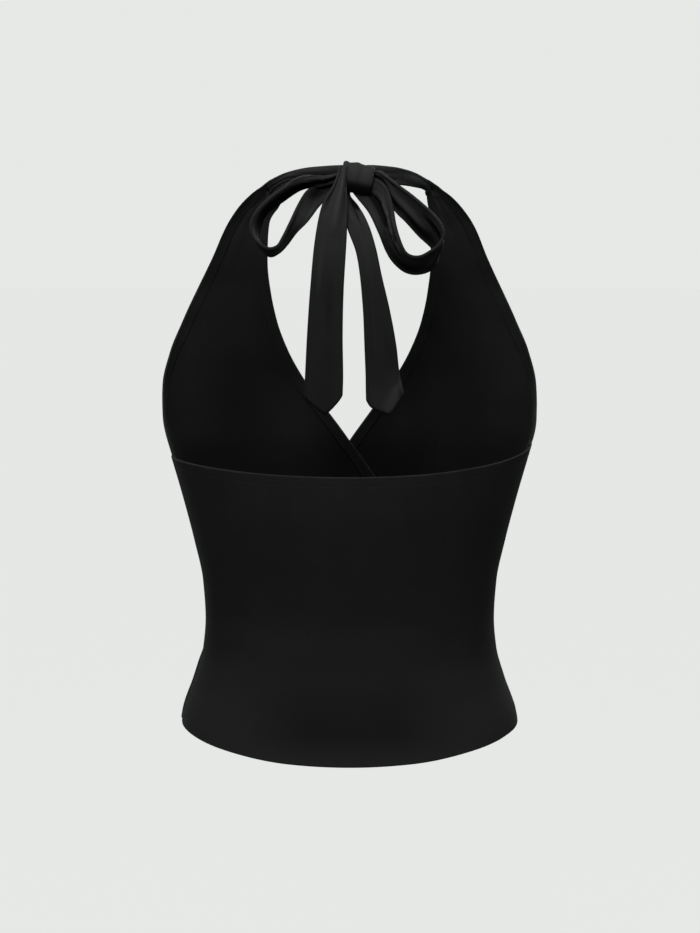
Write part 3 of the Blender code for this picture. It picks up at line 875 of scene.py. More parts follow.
def run_lengths(points):
    """How far along a line of points each of them lies."""
    runs = [0.0]
    for before, after in zip(points, points[1:]):
        runs.append(runs[-1] + (after - before).length)
    return runs


def turn_outwards(bm):
    """Make the faces of an open sheet point away from the torso's middle line."""
    bm.normal_update()
    outwards = 0.0
    for face in bm.faces:
        middle = face.calc_center_median()
        away = Vector((middle.x, middle.y - SIDE_PLANE_Y, 0))
        outwards += face.normal.dot(away) * face.calc_area()
    if outwards < 0:
        bmesh.ops.reverse_faces(bm, faces=bm.faces)


def write_maps(bm, spots, across_stops, along_stops, radii, stitched):
    """Write the cloth's map in metres, and each point's signed way from its turned edge.

    The map is measured along each row from its middle, and down the middle. With the way from the
    edge go how far along that edge the point lies and how wide its turning is.
    """
    columns, rows = range(len(across_stops)), range(len(along_stops))
    points = {spot: vertex.co for spot, vertex in zip(spots, bm.verts)}
    over = [run_lengths([points[column, row] for column in columns]) for row in rows]
    down = [run_lengths([points[column, row] for row in rows]) for column in columns]
    middle = (len(columns) - 1) // 2
    cloth = bm.loops.layers.uv.new("cloth")
    for face in bm.faces:
        for loop in face.loops:
            column, row = spots[loop.vert.index]
            loop[cloth].uv = (over[row][column] - over[row][middle], down[middle][row])
    from_edge = bm.verts.layers.float.new("from_edge")
    edge_run = bm.verts.layers.float.new("edge_run")
    hem_depth = bm.verts.layers.float.new("hem_depth")
    for vertex in bm.verts:
        column, row = spots[vertex.index]
        found = [(FAR_FROM_EDGE, 0.0, 0.0)]
        edge, part, value = across_stops[column]
        if edge != "middle":
            side = down[0] if edge == "start" else down[-1]
            found.append((edge_distance((part, value), radii[edge]), side[row], TURN_WIDTH))
        edge, part, value = along_stops[row]
        if edge in stitched:
            found.append((edge_distance((part, value), radii[edge]), over[row][column], TURN_WIDTH))
        nearest = min(found, key=lambda one: abs(one[0]))
        vertex[from_edge], vertex[edge_run], vertex[hem_depth] = nearest


def finish_sheet(name, bm, thickness):
    mesh = bpy.data.meshes.new(name)
    bm.to_mesh(mesh)
    bm.free()
    piece = bpy.data.objects.new(name, mesh)
    bpy.context.scene.collection.objects.link(piece)
    if thickness:
        wall = piece.modifiers.new("cloth", "SOLIDIFY")
        wall.thickness = thickness
        wall.offset = 0
        wall.material_offset = 1
    mesh.shade_smooth()
    return piece


def settle(piece, node, material):
    """Give a finished piece its material and its place in the frame."""
    piece.data.materials.append(material)
    if piece.modifiers:
        piece.data.materials.append(INSIDE_JERSEY)
    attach(piece, "root")
    if node:
        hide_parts(node)
    triangles = sum(len(face.vertices) - 2 for face in piece.data.polygons)
    print(piece.name, "triangles before its wall:", triangles)


def middle_stops(count):
    return [("middle", "flat", (index + 1) / (count + 1)) for index in range(count)]


def edge_stops(edge, turn_width, radius):
    stops = [(edge, part, value) for part, value in turned_stops(turn_width, radius)]
    return stops if edge in ("start", "top") else stops[::-1]


def across_panel(middle_columns):
    """The stops across a whole panel, from one turned side to the other."""
    stops = edge_stops("start", TURN_WIDTH, FOLD_RADIUS) + middle_stops(middle_columns)
    return stops + edge_stops("end", TURN_WIDTH, FOLD_RADIUS)


def facing_out(normal, here):
    """The normal or its opposite, whichever points away from the torso's middle line."""
    away = here - Vector((0, SIDE_PLANE_Y, here.z))
    return -normal if normal.dot(away) < 0 else normal


print("middle of a row of three:", middle_stops(3)[1])


# %% [markdown]
# ## The two fronts
#
# Each front starts as a narrow strip under the tie, widens over the chest, crosses the centre at
# the foot of the V and runs on across the other half to the far side seam. The wearer's right
# front lies outside. Both share one base surface, a quarter ellipse at each drop that flattens
# into a strip towards the shoulder, and each is moved half a layer in or out from it.

# %% Front surface
FRONT_COLUMNS = 44
FRONT_ROWS = 170
FRONT_ROW_CLEARANCE = 2
AROUND_STEP = 0.002
DROP_STEP = 1
GATHER_LEFT = (
    (69, 6, 86, 48, 2.4, 0.9),
    (72, 4, 97, 40, 2.0, -0.8),
    (76, 6, 108, 52, 2.6, 0.8),
    (66.5, 10, 75, 60, 2.2, -0.7),
    (80, 10, 112, 84, 3.4, -0.6),
)
GATHER_RIGHT = (
    (-68, 7, -80, 56, 2.4, -0.8),
    (-71, 4, -91, 44, 2.1, 0.9),
    (-75, 5, -103, 50, 2.4, -0.9),
    (-79, 8, -113, 66, 3.0, 0.7),
    (-67, 12, -72, 70, 2.4, 0.5),
)
DRAPE_OUTER = (
    (128, 408, 30, 330, 9, 1.1),
    (131, 396, -10, 292, 8, -1.0),
    (134, 380, 52, 296, 10, 1.0),
    (140, 300, 96, 252, 9, -0.8),
    (136, 345, 60, 268, 8, 0.7),
    (-112, 385, -40, 412, 11, 0.8),
    (-118, 350, -52, 340, 10, -0.7),
    (-126, 300, -74, 268, 9, 0.8),
    (-60, 440, -66, 478, 9, 0.7),
    (22, 446, 30, 480, 8, -0.6),
    (84, 436, 96, 472, 8, 0.8),
)
DRAPE_INNER = (
    (-128, 408, -24, 336, 9, -0.9),
    (-132, 388, 0, 300, 9, 0.9),
    (-136, 356, -50, 286, 10, -0.8),
    (118, 372, 44, 340, 10, -0.7),
    (128, 290, 80, 262, 9, 0.8),
)
LEFT_NECKLINE_BULGE = (12, 7, 7)
PRESS_AROUND = (0.72, 0.98)
PRESS_DROPS = (385, 422)
PRESS_DEPTH = {"left": 0.2 * MM, "right": 0.9 * MM}
FRONT_CREASES = {"left": GATHER_LEFT + DRAPE_INNER, "right": GATHER_RIGHT + DRAPE_OUTER}


@functools.lru_cache(maxsize=None)
def armhole_depth(side, drop):
    """Depth of the armhole edge, with the curve's foot moved to where this side's seam ends."""
    start = ARMHOLE_COMMON_DROP
    own_end = SEAM_TOP_DROP[side]
    if drop > start:
        drop = start + (drop - start) * (SEAM_TOP_DROP["left"] - start) / (own_end - start)
    return calm_value(FRONT["outer_drop"], FRONT["outer_depth"], drop)


def cup_swell(x, z):
    across = (abs(x) - CUP_CENTRE_X) / CUP_REACH_X
    down = (z - CUP_CENTRE_Z) / CUP_REACH_Z
    return CUP_DEPTH * math.exp(-across * across - down * down)


@functools.lru_cache(maxsize=None)
def front_base(side, around, drop):
    """A point of the front at this drop. Around runs from the left side (1) to the right (-1)."""
    on_left = around > 0 or (around == 0 and side == "left")
    row = dict(front_row(drop))
    if on_left:
        place, reach, amount = LEFT_NECKLINE_BULGE
        row["inner_x"] -= amount * math.exp(-(((drop - place) / reach) ** 2))
    outer_depth = armhole_depth("left" if on_left else "right", drop)
    outer_x = row["outer_x"] + (0 if on_left else row["right_extra"])
    share = 1 - abs(around)
    angle = share * math.pi / 2
    round_x = row["inner_x"] + (outer_x - row["inner_x"]) * math.cos(angle)
    round_y = outer_depth + (row["inner_depth"] - outer_depth) * math.sin(angle)
    chord = Vector((row["inner_x"] - outer_x, row["inner_depth"] - outer_depth))
    outward = Vector((-chord.y, chord.x)).normalized()
    if outward.y > 0:
        outward = -outward
    bowed = 4 * share * (1 - share) * row["hump"]
    flat_x = outer_x + chord.x * share + outward.x * bowed
    flat_y = outer_depth + chord.y * share + outward.y * bowed
    x = (flat_x + (round_x - flat_x) * row["roundness"]) * MM
    y = (flat_y + (round_y - flat_y) * row["roundness"]) * MM
    lowering = math.sin(angle) ** 2
    z = -(row["outer_drop"] + (row["inner_drop"] - row["outer_drop"]) * lowering) * MM
    return Vector((x if on_left else -x, y + SIDE_PLANE_Y - cup_swell(x, z), z))


def seam_press(side, around, drop):
    """At the left side seam both fronts are sewn in, so the layers are pressed flat into it."""
    near = soft_step(*PRESS_AROUND, around)
    return PRESS_DEPTH[side] * near * soft_step(*PRESS_DROPS, drop)


def front_surface(side):
    """The middle of one front's cloth as a function of two shares: across it and down it."""
    own = 1 if side == "left" else -1
    layer = 1 if side == "right" else -1
    creases = FRONT_CREASES[side]

    def surface(across, along):
        drop = APEX_DROP + (HEM_DROP - APEX_DROP) * along
        reach = 1 + calm_value(WRAP["outer_drop"], WRAP["share"], drop, keen=True)
        around = own * (1 - across * reach)
        here = front_base(side, around, drop)
        sideways = -AROUND_STEP if around > 0 else AROUND_STEP
        if abs(around) < AROUND_STEP:
            sideways = AROUND_STEP if side == "left" else -AROUND_STEP
        beside = front_base(side, around + sideways, drop) - here
        below = front_base(side, around, drop + DROP_STEP) - front_base(side, around, drop - DROP_STEP)
        outward = facing_out(unit(beside.cross(below)), here)
        shift = (math.sin(around * math.pi / 2) + layer) * LAYER_PITCH / 2
        shift -= seam_press(side, around, drop)
        shift += crease_relief(creases, here.x / MM, drop)
        return here + outward * shift, outward

    return surface


def front_shares():
    """Rows every two and a half millimetres, down to where the hem's own stops begin."""
    hem = FRONT_HEM_RADIUS + (FLAT_STEPS[-1] + FRONT_ROW_CLEARANCE) * MM
    last = 1 - hem / ((HEM_DROP - APEX_DROP) * MM)
    return [last * index / FRONT_ROWS for index in range(FRONT_ROWS + 1)]


def front_cloth(side):
    radii = {"start": FOLD_RADIUS, "end": FOLD_RADIUS, "bottom": FRONT_HEM_RADIUS}
    along = [("middle", "flat", share) for share in front_shares()]
    if side == "right":
        along += edge_stops("bottom", HEM_HEIGHT, FRONT_HEM_RADIUS)
    else:
        along += [("middle", "flat", 1 - FRONT_HEM_RADIUS / ((HEM_DROP - APEX_DROP) * MM))]
    return sew_sheet(f"front_{side}_cloth", front_surface(side), across_panel(FRONT_COLUMNS), along, radii)


for side in ("left", "right"):
    settle(front_cloth(side), f"front_{side}_panel", BODY_JERSEY)

# %% [markdown]
# ## The back
#
# The back is one panel, low and a little higher under the right arm. Below the waist it flares
# over the hips. Its top edge is the one that shows most: it catches the light as a thin line, and
# a row of stitches runs close below it.

# %% Back surface
BACK_COLUMNS = 84
BACK_ROWS = 72
BACK_ROWS_FROM = 0.065
BACK_ROWS_SHARE = 0.87
BACK_CREASES = (
    (119, 372, 66, 392, 9, 0.6),
    (116, 352, 78, 366, 8, -0.4),
    (-121, 384, -78, 366, 9, 0.5),
    (-118, 356, -84, 350, 8, -0.4),
    (-62, 436, -70, 484, 10, 0.5),
    (16, 444, 12, 488, 9, -0.4),
    (86, 430, 98, 478, 9, 0.5),
    (-142, 450, -138, 468, 3, 0.6),
    (-136, 452, -132, 472, 3, -0.5),
)


def back_point(around, along):
    edge = back_edge(around)
    drop = edge["top_drop"] + (edge["hem_drop"] - edge["top_drop"]) * along
    section = back_row(drop)
    cosine = math.cos(around * math.pi)
    sine = max(0.0, math.sin(around * math.pi))
    half_width = section["half_width"] + (RIGHT_SIDE_EXTRA if cosine < 0 else 0)
    x = math.copysign(abs(cosine) ** BACK_SQUARENESS, cosine) * half_width * MM
    y = SIDE_PLANE_Y + sine**BACK_SQUARENESS * section["back_depth"] * MM
    return Vector((x, y, -drop * MM))


def back_surface(around, along):
    here = back_point(around, along)
    left = back_point(max(around - SMALL_SHARE, 0), along)
    right = back_point(min(around + SMALL_SHARE, 1), along)
    above = back_point(around, max(along - SMALL_SHARE, 0))
    below = back_point(around, min(along + SMALL_SHARE, 1))
    outward = facing_out(unit((right - left).cross(below - above)), here)
    relief = crease_relief(BACK_CREASES, here.x / MM, -here.z / MM)
    return here + outward * relief, outward


def back_cloth():
    radii = dict.fromkeys(("start", "end", "top", "bottom"), FOLD_RADIUS)
    shares = [BACK_ROWS_FROM + BACK_ROWS_SHARE * (index + 0.5) / BACK_ROWS for index in range(BACK_ROWS)]
    along = edge_stops("top", TURN_WIDTH, FOLD_RADIUS)
    along += [("middle", "flat", share) for share in shares]
    along += edge_stops("bottom", HEM_HEIGHT, FOLD_RADIUS)
    return sew_sheet("back_cloth", back_surface, across_panel(BACK_COLUMNS), along, radii, stitched=("top",))


settle(back_cloth(), "back_panel", BODY_JERSEY)

# %% [markdown]
# ## The ties
#
# Each tie is a long strip, doubled, sewn and turned, so it is a flat tube three centimetres wide.
# A curve with a bevel would keep one width and twist freely, but a tied band narrows and gathers
# where the knot grips it. So each stretch is lofted between its two edges, given in a short table,
# and its section is a flat tube: two faces that join in rounded edges, a little fuller there
# because the seam allowances lie inside.

# %% Sizes of the ties
RIBBON_NAMES = ("ax", "ay", "az", "bx", "by", "bz", "thickness", "bow")
STRAP_HALF = (
    (0, 1.5, 8.4, 0, 1.5, -8, 3, 0),
    (12, 1.1, 8.8, 12, 0.8, -8, 3, 0.3),
    (25, -1.6, 8.2, 25, -2.8, -7.6, 2.8, 0.5),
    (39, -9.5, 7, 38, -9.5, -7, 2.6, 0.5),
    (54, -22.5, 3.6, 52.5, -25.5, -8, 2.2, 0.3),
    (65.1, -31.3, -1.4, 63.5, -44.8, -9.6, 2.2, 0),
    (69.6, -35.5, -4.2, 65.3, -51.2, -14.2, 2.2, 0),
)
STRAP_LEFT = STRAP_HALF[:-2] + (
    (65.1, -31.3, -1.4, 61.5, -43, -14.5, 2.2, 0),
    (69.6, -35.5, -4.2, 63.5, -49.5, -20, 2.2, 0),
)
LOOP_LEFT = (
    (-3, 11.5, 1.5, -3, 9, -2, 2.2, 0),
    (6.2, 13, 1.8, 6.2, 9, -3.8, 2.2, 0.5),
    (21, 18, -0.5, 22.5, 10, -9, 2.2, 0.8),
    (40.6, 24, -3.4, 38.5, 6, -11.4, 2.2, 1),
    (59.3, 27, -13.5, 54.5, 1.5, -21.2, 2.2, 1),
    (73.5, 28, -26.5, 67.3, 0.5, -31, 2.2, 0.6),
    (79.5, 28, -37.6, 72.6, 0, -42.8, 2.2, 0.3),
    (78.8, 28, -46.4, 73.5, 0, -52.6, 2.2, 0.3),
    (73.6, 28, -53.6, 70.2, 1, -60.7, 2.2, 0.3),
    (65.6, 28, -58.3, 64.4, 3, -64.9, 2.2, 0.3),
    (58.2, 27, -56.6, 57.6, 4, -61.6, 2.2, 0.4),
    (54, 26, -50, 51.8, 6, -56, 2.2, 0.5),
    (48, 23, -37.6, 44.4, 9.5, -47.2, 2.2, 0.8),
    (41.3, 16, -22.2, 34, 13, -37.6, 2.2, 0.8),
    (33.4, 12, -10.8, 23.7, 11, -24.4, 2.2, 0.8),
    (21.5, 7, -4.8, 15.2, 9, -16.3, 2.2, 0.5),
    (8, 7, -3, 7, 7, -10, 2.2, 0.2),
    (-3, 11.5, -4, -3, 9, -6, 2.2, 0),
)
LOOP_RIGHT = (
    (-13, 12, 2, -13, 9.5, -2, 2.2, 0),
    (-22.1, 13.5, 2.6, -23, 7, -3.5, 2.2, 0.4),
    (-30.1, 17, -1.5, -29.2, 5, -11, 2.2, 0.8),
    (-39.7, 20.5, -8, -34.8, 4, -25.8, 2.2, 1),
    (-51.7, 23.5, -16.9, -45.6, 3, -37.6, 2.2, 1),
    (-65.4, 25.5, -28.8, -56.6, 2, -49.6, 2.2, 0.8),
    (-73.4, 26, -38.4, -67.2, 1.5, -59.1, 2.2, 0.4),
    (-75.9, 26, -47.2, -71.6, 1.5, -66.8, 2.2, 0.3),
    (-71.9, 26, -54.8, -69.5, 2.5, -74, 2.2, 0.3),
    (-65.1, 26, -60.4, -61.7, 4, -78.6, 2.2, 0.3),
    (-57.5, 26, -64.3, -52.7, 5, -80, 2.2, 0.4),
    (-50.5, 26, -64.2, -44.4, 6, -77.6, 2.2, 0.5),
    (-45.2, 26, -60.6, -36, 7, -70.4, 2.2, 0.6),
    (-40.8, 25, -50.6, -30.1, 7.5, -61, 2.2, 0.8),
    (-37.6, 23.5, -38.8, -23.9, 8, -45.4, 2.2, 0.8),
    (-35.4, 20.5, -26, -16, 8, -29.5, 2.2, 0.6),
    (-29.8, 16.5, -9, -6.4, 7.5, -18.4, 2.2, 0.3),
    (-17, 13, 0, -0.5, 9, -11, 2.2, 0),
)
TAIL_LEFT = (
    (1, 13, 5, -3, 13, 4, 2.2, 0),
    (7.5, 19.5, 6.5, 2.5, 19.8, 5.2, 2.2, 0.3),
    (10.4, 22.8, -1.5, 2.3, 22.5, -2, 2.2, 0.6),
    (14.5, 24.5, -10.4, 1.9, 24, -11, 2.2, 1),
    (21.6, 25.6, -22.4, 1.3, 25, -25, 2.2, 1.2),
    (27.6, 28, -50.4, 2.1, 28, -50.4, 2.2, 1.4),
    (31.6, 35, -91.8, 4.5, 35.5, -91.8, 2.2, 1.2),
    (34, 41, -127.6, 5.3, 41.5, -127.6, 2.2, 1),
    (35.6, 45.5, -160, 4.9, 46, -160, 2.2, 1),
    (36.4, 47.6, -175.5, 5.3, 48, -175, 2.2, 0.8),
)
TAIL_RIGHT = (
    (-2, 10, -4, -8, 10, -5, 2.2, 0),
    (6, 10.2, -12.5, -0.5, 10, -14.5, 2.2, 0.3),
    (7, 12.6, -23, -7.4, 12.6, -24, 2.2, 0.8),
    (1.6, 20, -43.1, -15.6, 19.5, -39.8, 2.2, 1.2),
    (-4.9, 25, -60.7, -21.4, 24.5, -58.2, 2.2, 1.4),
    (-8.3, 30, -79.9, -26, 30, -79.9, 2.2, 1.4),
    (-10.9, 36, -109, -32.6, 36, -108, 2.2, 1.2),
    (-12, 40, -136, -37.6, 40, -135, 2.2, 1),
    (-13.1, 43, -163.3, -40.6, 43, -160, 2.2, 1),
    (-13.6, 48.9, -174.5, -43.9, 51, -173.5, 2.2, 0.8),
)
print("rows of the left loop:", len(LOOP_LEFT), "and of the left tail:", len(TAIL_LEFT))

# %% [markdown]
# ## A band as a flat tube
#
# The grid's columns go all the way round the band: across its outer face, round one edge, back
# across its inner face and round the other edge. The first and last columns then fall on each
# other and are merged, which closes the tube. Close to a rounded edge the columns are tight, so
# that the edge catches light as a thin line, as a pressed tie does.

# %% Build a band
BAND_STEP = 0.01
NORMAL_STEP_ACROSS = 0.02
NORMAL_STEP_ALONG = 0.004
FLAT_BAND_WIDTH = 25
BAND_EDGE_STEPS = (0, 0.12, 0.4, 0.85, 1.5, 2.2, 3.1)
BAND_MIDDLE_COLUMNS = 12
BAND_RIM_PLACE = 1.3
BAND_RIM_REACH = 0.8
BAND_RIM_SHARE = 0.28
BAND_EDGE_SHARE = 0.3
NARROWEST_FOR_STEPS = 11
GATHER_EDGE_SHARE = 0.12
INNER_FACE_MAP_SHIFT = 0.05
TAIL_POINT_LATENESS = 12
MERGE_DISTANCE = 1e-6
FOLD_STRENGTH = 1.35


def rounded(distance, radius):
    """Half of a round edge: 0 at the edge itself and 1 from one radius on."""
    if distance >= radius:
        return 1.0
    return math.sqrt(max(0.0, 1 - (1 - distance / radius) ** 2))


def band_faces():
    """The columns round a band: (which face, distance from the nearer edge in mm or a share)."""
    shares = [(index + 1) / (BAND_MIDDLE_COLUMNS + 1) for index in range(BAND_MIDDLE_COLUMNS)]
    one_face = [("near", step) for step in BAND_EDGE_STEPS]
    one_face += [("share", share) for share in shares]
    one_face += [("far", step) for step in BAND_EDGE_STEPS[::-1]]
    outer = [(1, kind, value) for kind, value in one_face]
    inner = [(-1, kind, value) for kind, value in one_face[::-1]]
    return outer + inner[1:]


def column_distance(kind, value, width, scale=1.0):
    """How far a band's column runs from the band's first edge."""
    last = BAND_EDGE_STEPS[-1] * scale
    if kind == "share":
        return last + (width - 2 * last) * value
    return value * scale if kind == "near" else width - value * scale


def close_tube(name, columns, rows, place):
    """Bend a grid round: place(column, row) is a point, its spot on the cloth and its fold value, which the
    ties' colour turns into painted highlight and painted shade.
    """
    bm, spots = new_grid(columns, rows)
    cloth = bm.loops.layers.uv.new("cloth")
    fold = bm.verts.layers.float.new("fold")
    from_edge = bm.verts.layers.float.new("from_edge")
    on_cloth = {}
    for vertex in bm.verts:
        vertex.co, on_cloth[vertex.index], vertex[fold] = place(*spots[vertex.index])
        vertex[from_edge] = FAR_FROM_EDGE
    for face in bm.faces:
        for loop in face.loops:
            loop[cloth].uv = on_cloth[loop.vert.index]
    bmesh.ops.remove_doubles(bm, verts=bm.verts, dist=MERGE_DISTANCE)
    bmesh.ops.recalc_face_normals(bm, faces=bm.faces)
    return finish_sheet(name, bm, 0)


def band_cloth(name, rows, row_count, folds=(), gathers=(), side=1, start_shift=0.0, end_point=None):
    """Loft a flat tube between two edges: its folds are lines, and its gathers are waves across it."""
    table = read_table(RIBBON_NAMES, rows)
    middles = [Vector((ax + bx, ay + by, az + bz)) / 2 for ax, ay, az, bx, by, bz, _, _ in rows]
    lengths = run_lengths(middles)
    length = lengths[-1]
    keys = [reached / length for reached in lengths]
    faces = band_faces()

    @functools.lru_cache(maxsize=None)
    def row_at(along):
        found = {column: free_value(keys, values, along) for column, values in table.items()}
        first = Vector((found["ax"], found["ay"], found["az"]))
        second = Vector((found["bx"], found["by"], found["bz"]))
        return first, second, found["thickness"], found["bow"]

    def middle_at(along):
        first, second, _, _ = row_at(min(max(along, 0.0), 1.0))
        return (first + second) / 2

    @functools.lru_cache(maxsize=None)
    def outward_at(along):
        first, second, _, _ = row_at(along)
        travel = middle_at(along + BAND_STEP) - middle_at(along - BAND_STEP)
        return unit(travel.cross(second - first))

    @functools.lru_cache(maxsize=None)
    def fold_at(across, along):
        return crease_relief(folds, across * FLAT_BAND_WIDTH, along * length) / MM

    @functools.lru_cache(maxsize=None)
    def middle_surface(across, along):
        first, second, _, bow = row_at(along)
        lift = bow * 4 * across * (1 - across) + FOLD_STRENGTH * fold_at(across, along)
        for place, reach, waves, phase, depth in gathers:
            fade = math.exp(-(((along * length - place) / reach) ** 2))
            fade *= min(min(across, 1 - across) / GATHER_EDGE_SHARE, 1)
            lift += depth * fade * math.sin(2 * math.pi * waves * across + phase)
        point = first.lerp(second, across) + outward_at(along) * lift
        if end_point:
            tip, reach, first_power, second_power = end_point
            tent = min((across / tip) ** first_power, ((1 - across) / (1 - tip)) ** second_power)
            point.z -= reach * tent * along**TAIL_POINT_LATENESS
        return point

    def face_normal(across, along):
        low, high = max(across - NORMAL_STEP_ACROSS, 0), min(across + NORMAL_STEP_ACROSS, 1)
        before, after = max(along - NORMAL_STEP_ALONG, 0), min(along + NORMAL_STEP_ALONG, 1)
        over = middle_surface(high, along) - middle_surface(low, along)
        down = middle_surface(across, after) - middle_surface(across, before)
        normal = unit(down.cross(over))
        return normal if normal.dot(outward_at(along)) > 0 else -normal

    def place(column, row):
        along = row / row_count
        face, kind, value = faces[column]
        first, second, thickness, _ = row_at(along)
        width = (second - first).length
        scale = min(width / NARROWEST_FOR_STEPS, 1.0)
        distance = column_distance(kind, value, width, scale)
        from_edge = min(distance, width - distance)
        from_end = (1 - along if end_point else min(along, 1 - along)) * length
        radius = thickness / 2 * scale
        rim = math.exp(-(((from_edge / scale - BAND_RIM_PLACE) / BAND_RIM_REACH) ** 2))
        half = rounded(from_edge, radius) * rounded(from_end, radius) * thickness / 2
        half *= 1 - BAND_EDGE_SHARE + (BAND_RIM_SHARE + BAND_EDGE_SHARE) * rim
        across = min(max(distance / width, 0.0), 1.0)
        point = (middle_surface(across, along) + face_normal(across, along) * (half * face)) * MM
        point.x = point.x * side + start_shift * MM * (1 - along) ** 2
        map_across = distance * MM + (INNER_FACE_MAP_SHIFT if face < 0 else 0)
        # The fold value given to each point becomes a painted highlight on ridges and painted shade in
        # hollows.
        return point, (map_across, along * length * MM), fold_at(across, along) * face

    return close_tube(name, len(faces) - 1, row_count, place)


print("columns round a band:", len(band_faces()) - 1)

# %% [markdown]
# ## Straps, loops and tails
#
# The folds of each stretch are listed as lines on the flat band, 25 mm wide: from one point to another, then
# how wide and how high. A positive fold stands out on the camera's side of a strap or tail, and towards the
# inside of the left loop and the outside of the right one. Near the knot the whole width is pressed into one
# centimetre, so the folds gather into sharp pleats there and fade out along the band. A gather is a wave
# across the band that fades with its distance from one place. A tail's end point says where across its width
# the tip is, how far the tip hangs below the last row and how its two sides curve up from it.

# %% Neck straps
STRAP_MEET_X = -8.4
STRAP_MEET_GAP = 0.1
STRAP_ROWS = 90
STRAP_FOLDS = {
    "left": (
        (5, 4, 5, 62, 2.6, 1.2),
        (11, 2, 13, 54, 2.2, -1.2),
        (17, 6, 20, 58, 2.4, 0.9),
        (9, 40, 5, 90, 1.6, 1.2),
        (14, 50, 11, 90, 1.4, 1.3),
        (20, 48, 18, 90, 1.6, 1.3),
    ),
    "right": (
        (4, 2, 5, 40, 2.2, 1.0),
        (18, 10, 17, 40, 2.0, -0.7),
        (12, 46, 13, 96, 9.0, 1.8),
    ),
}
STRAP_GATHERS = ((0, 24, 2.5, 0.4, 0.7),)


for side, rows, sign in (("left", STRAP_LEFT, 1), ("right", STRAP_HALF, -1)):
    start = STRAP_MEET_X + sign * STRAP_MEET_GAP / 2
    folds = STRAP_FOLDS[side]
    cloth = band_cloth(f"strap_{side}_cloth", rows, STRAP_ROWS, folds, STRAP_GATHERS, sign, start)
    settle(cloth, f"neck_strap_{side}", TIE_JERSEY)

# %% Loops
LOOP_ROWS = 240
LOOP_LEFT_FOLDS = (
    (1.4, 26, 1.4, 54, 0.9, -1.3),
    (4.8, 12, 4.4, 62, 1.1, 1.6),
    (2.2, 48, 2.6, 106, 1.6, 1.2),
    (15, 8, 15, 112, 7.0, -2.2),
    (16, 4, 18, 34, 1.6, -1.0),
    (6, 104, 17, 116, 1.3, 0.8),
    (9, 101, 20, 112, 1.2, -0.8),
    (4, 110, 13, 122, 1.2, -0.7),
    (13, 116, 15, 176, 10.0, -1.1),
    (10, 172, 12, 213, 8.0, 1.5),
    (21, 160, 20, 200, 1.8, -0.8),
)
LOOP_RIGHT_FOLDS = (
    (10.5, 16, 15.5, 72, 3.6, -2.2),
    (3.5, 6, 6, 30, 2.0, 1.6),
    (16.5, 6, 21, 42, 3.0, 2.0),
    (21, 40, 20, 84, 4.2, 1.2),
    (9, 58, 10, 94, 2.6, 1.6),
    (4, 64, 3.2, 90, 1.2, -1.3),
    (13, 190, 7.5, 176, 1.2, 1.8),
    (8, 179, 6.5, 162, 1.2, 2.0),
    (6.6, 168, 7.0, 146, 1.2, 2.0),
    (7.0, 152, 4.0, 126, 1.2, 1.7),
    (3.2, 180, 2.8, 132, 0.9, 1.4),
    (5.0, 178, 4.6, 138, 0.8, -1.6),
    (13.4, 190, 12.8, 154, 3.6, -3.0),
    (11, 158, 9.5, 128, 1.8, -1.6),
    (21.8, 186, 20.5, 144, 2.2, 1.5),
    (17.5, 140, 18.7, 104, 5.0, -1.0),
    (8, 96, 19, 104, 1.4, 0.8),
    (5, 92, 16, 98, 1.3, -0.7),
)
LOOP_GATHERS = ((0, 16, 2.5, 0.3, 0.9),)
for side, rows, folds in (("left", LOOP_LEFT, LOOP_LEFT_FOLDS), ("right", LOOP_RIGHT, LOOP_RIGHT_FOLDS)):
    cloth = band_cloth(f"loop_{side}_cloth", rows, LOOP_ROWS, folds, LOOP_GATHERS)
    settle(cloth, f"bow_loop_{side}", TIE_JERSEY)

# %% Tails
TAIL_ROWS = 150
TAIL_END_LEFT = (0.55, 16.5, 0.75, 0.75)
TAIL_END_RIGHT = (0.62, 18.5, 0.32, 0.8)
TAIL_LEFT_FOLDS = (
    (17, 4, 14, 66, 3.6, 1.2),
    (5, 12, 5, 50, 2.8, -1.0),
    (22, 10, 22, 56, 1.4, -0.8),
    (9, 30, 7, 120, 3.4, 0.35),
    (21.6, 60, 22, 150, 1.0, -0.25),
    (14, 90, 17, 176, 4.0, -0.4),
    (5, 60, 6, 140, 3.0, 0.45),
    (15, 90, 14, 150, 4.0, -0.35),
    (12, 150, 13, 205, 13.0, -0.5),
)
TAIL_RIGHT_FOLDS = (
    (12, 34, 12, 110, 9.0, 0.5),
    (20, 4, 21, 30, 4.5, -1.8),
    (7, 10, 9, 40, 3.0, 0.9),
    (16, 16, 16, 60, 1.5, -0.8),
    (9.5, 100, 7.5, 172, 2.8, 0.5),
    (17, 120, 22, 172, 3.0, -0.5),
    (8, 186, 32, 166, 7.0, 0.9),
)
TAIL_GATHERS = ((0, 14, 2.5, 0.2, 0.6),)
for side, rows, folds, end_point in (
    ("left", TAIL_LEFT, TAIL_LEFT_FOLDS, TAIL_END_LEFT),
    ("right", TAIL_RIGHT, TAIL_RIGHT_FOLDS, TAIL_END_RIGHT),
):
    cloth = band_cloth(f"tail_{side}_cloth", rows, TAIL_ROWS, folds, TAIL_GATHERS, end_point=end_point)
    settle(cloth, f"tie_tail_{side}", TIE_JERSEY)

# %% [markdown]
# ## The knot
#
# The middle of the bow is one turn of the tie, wrapped round everything that passes through it. A rounded
# block would look like a bead, so the wrap is a real band: a closed ring, pinched at both rims, with the
# soft ridges of cloth that was pulled tight. Its lower half is given painted shade.

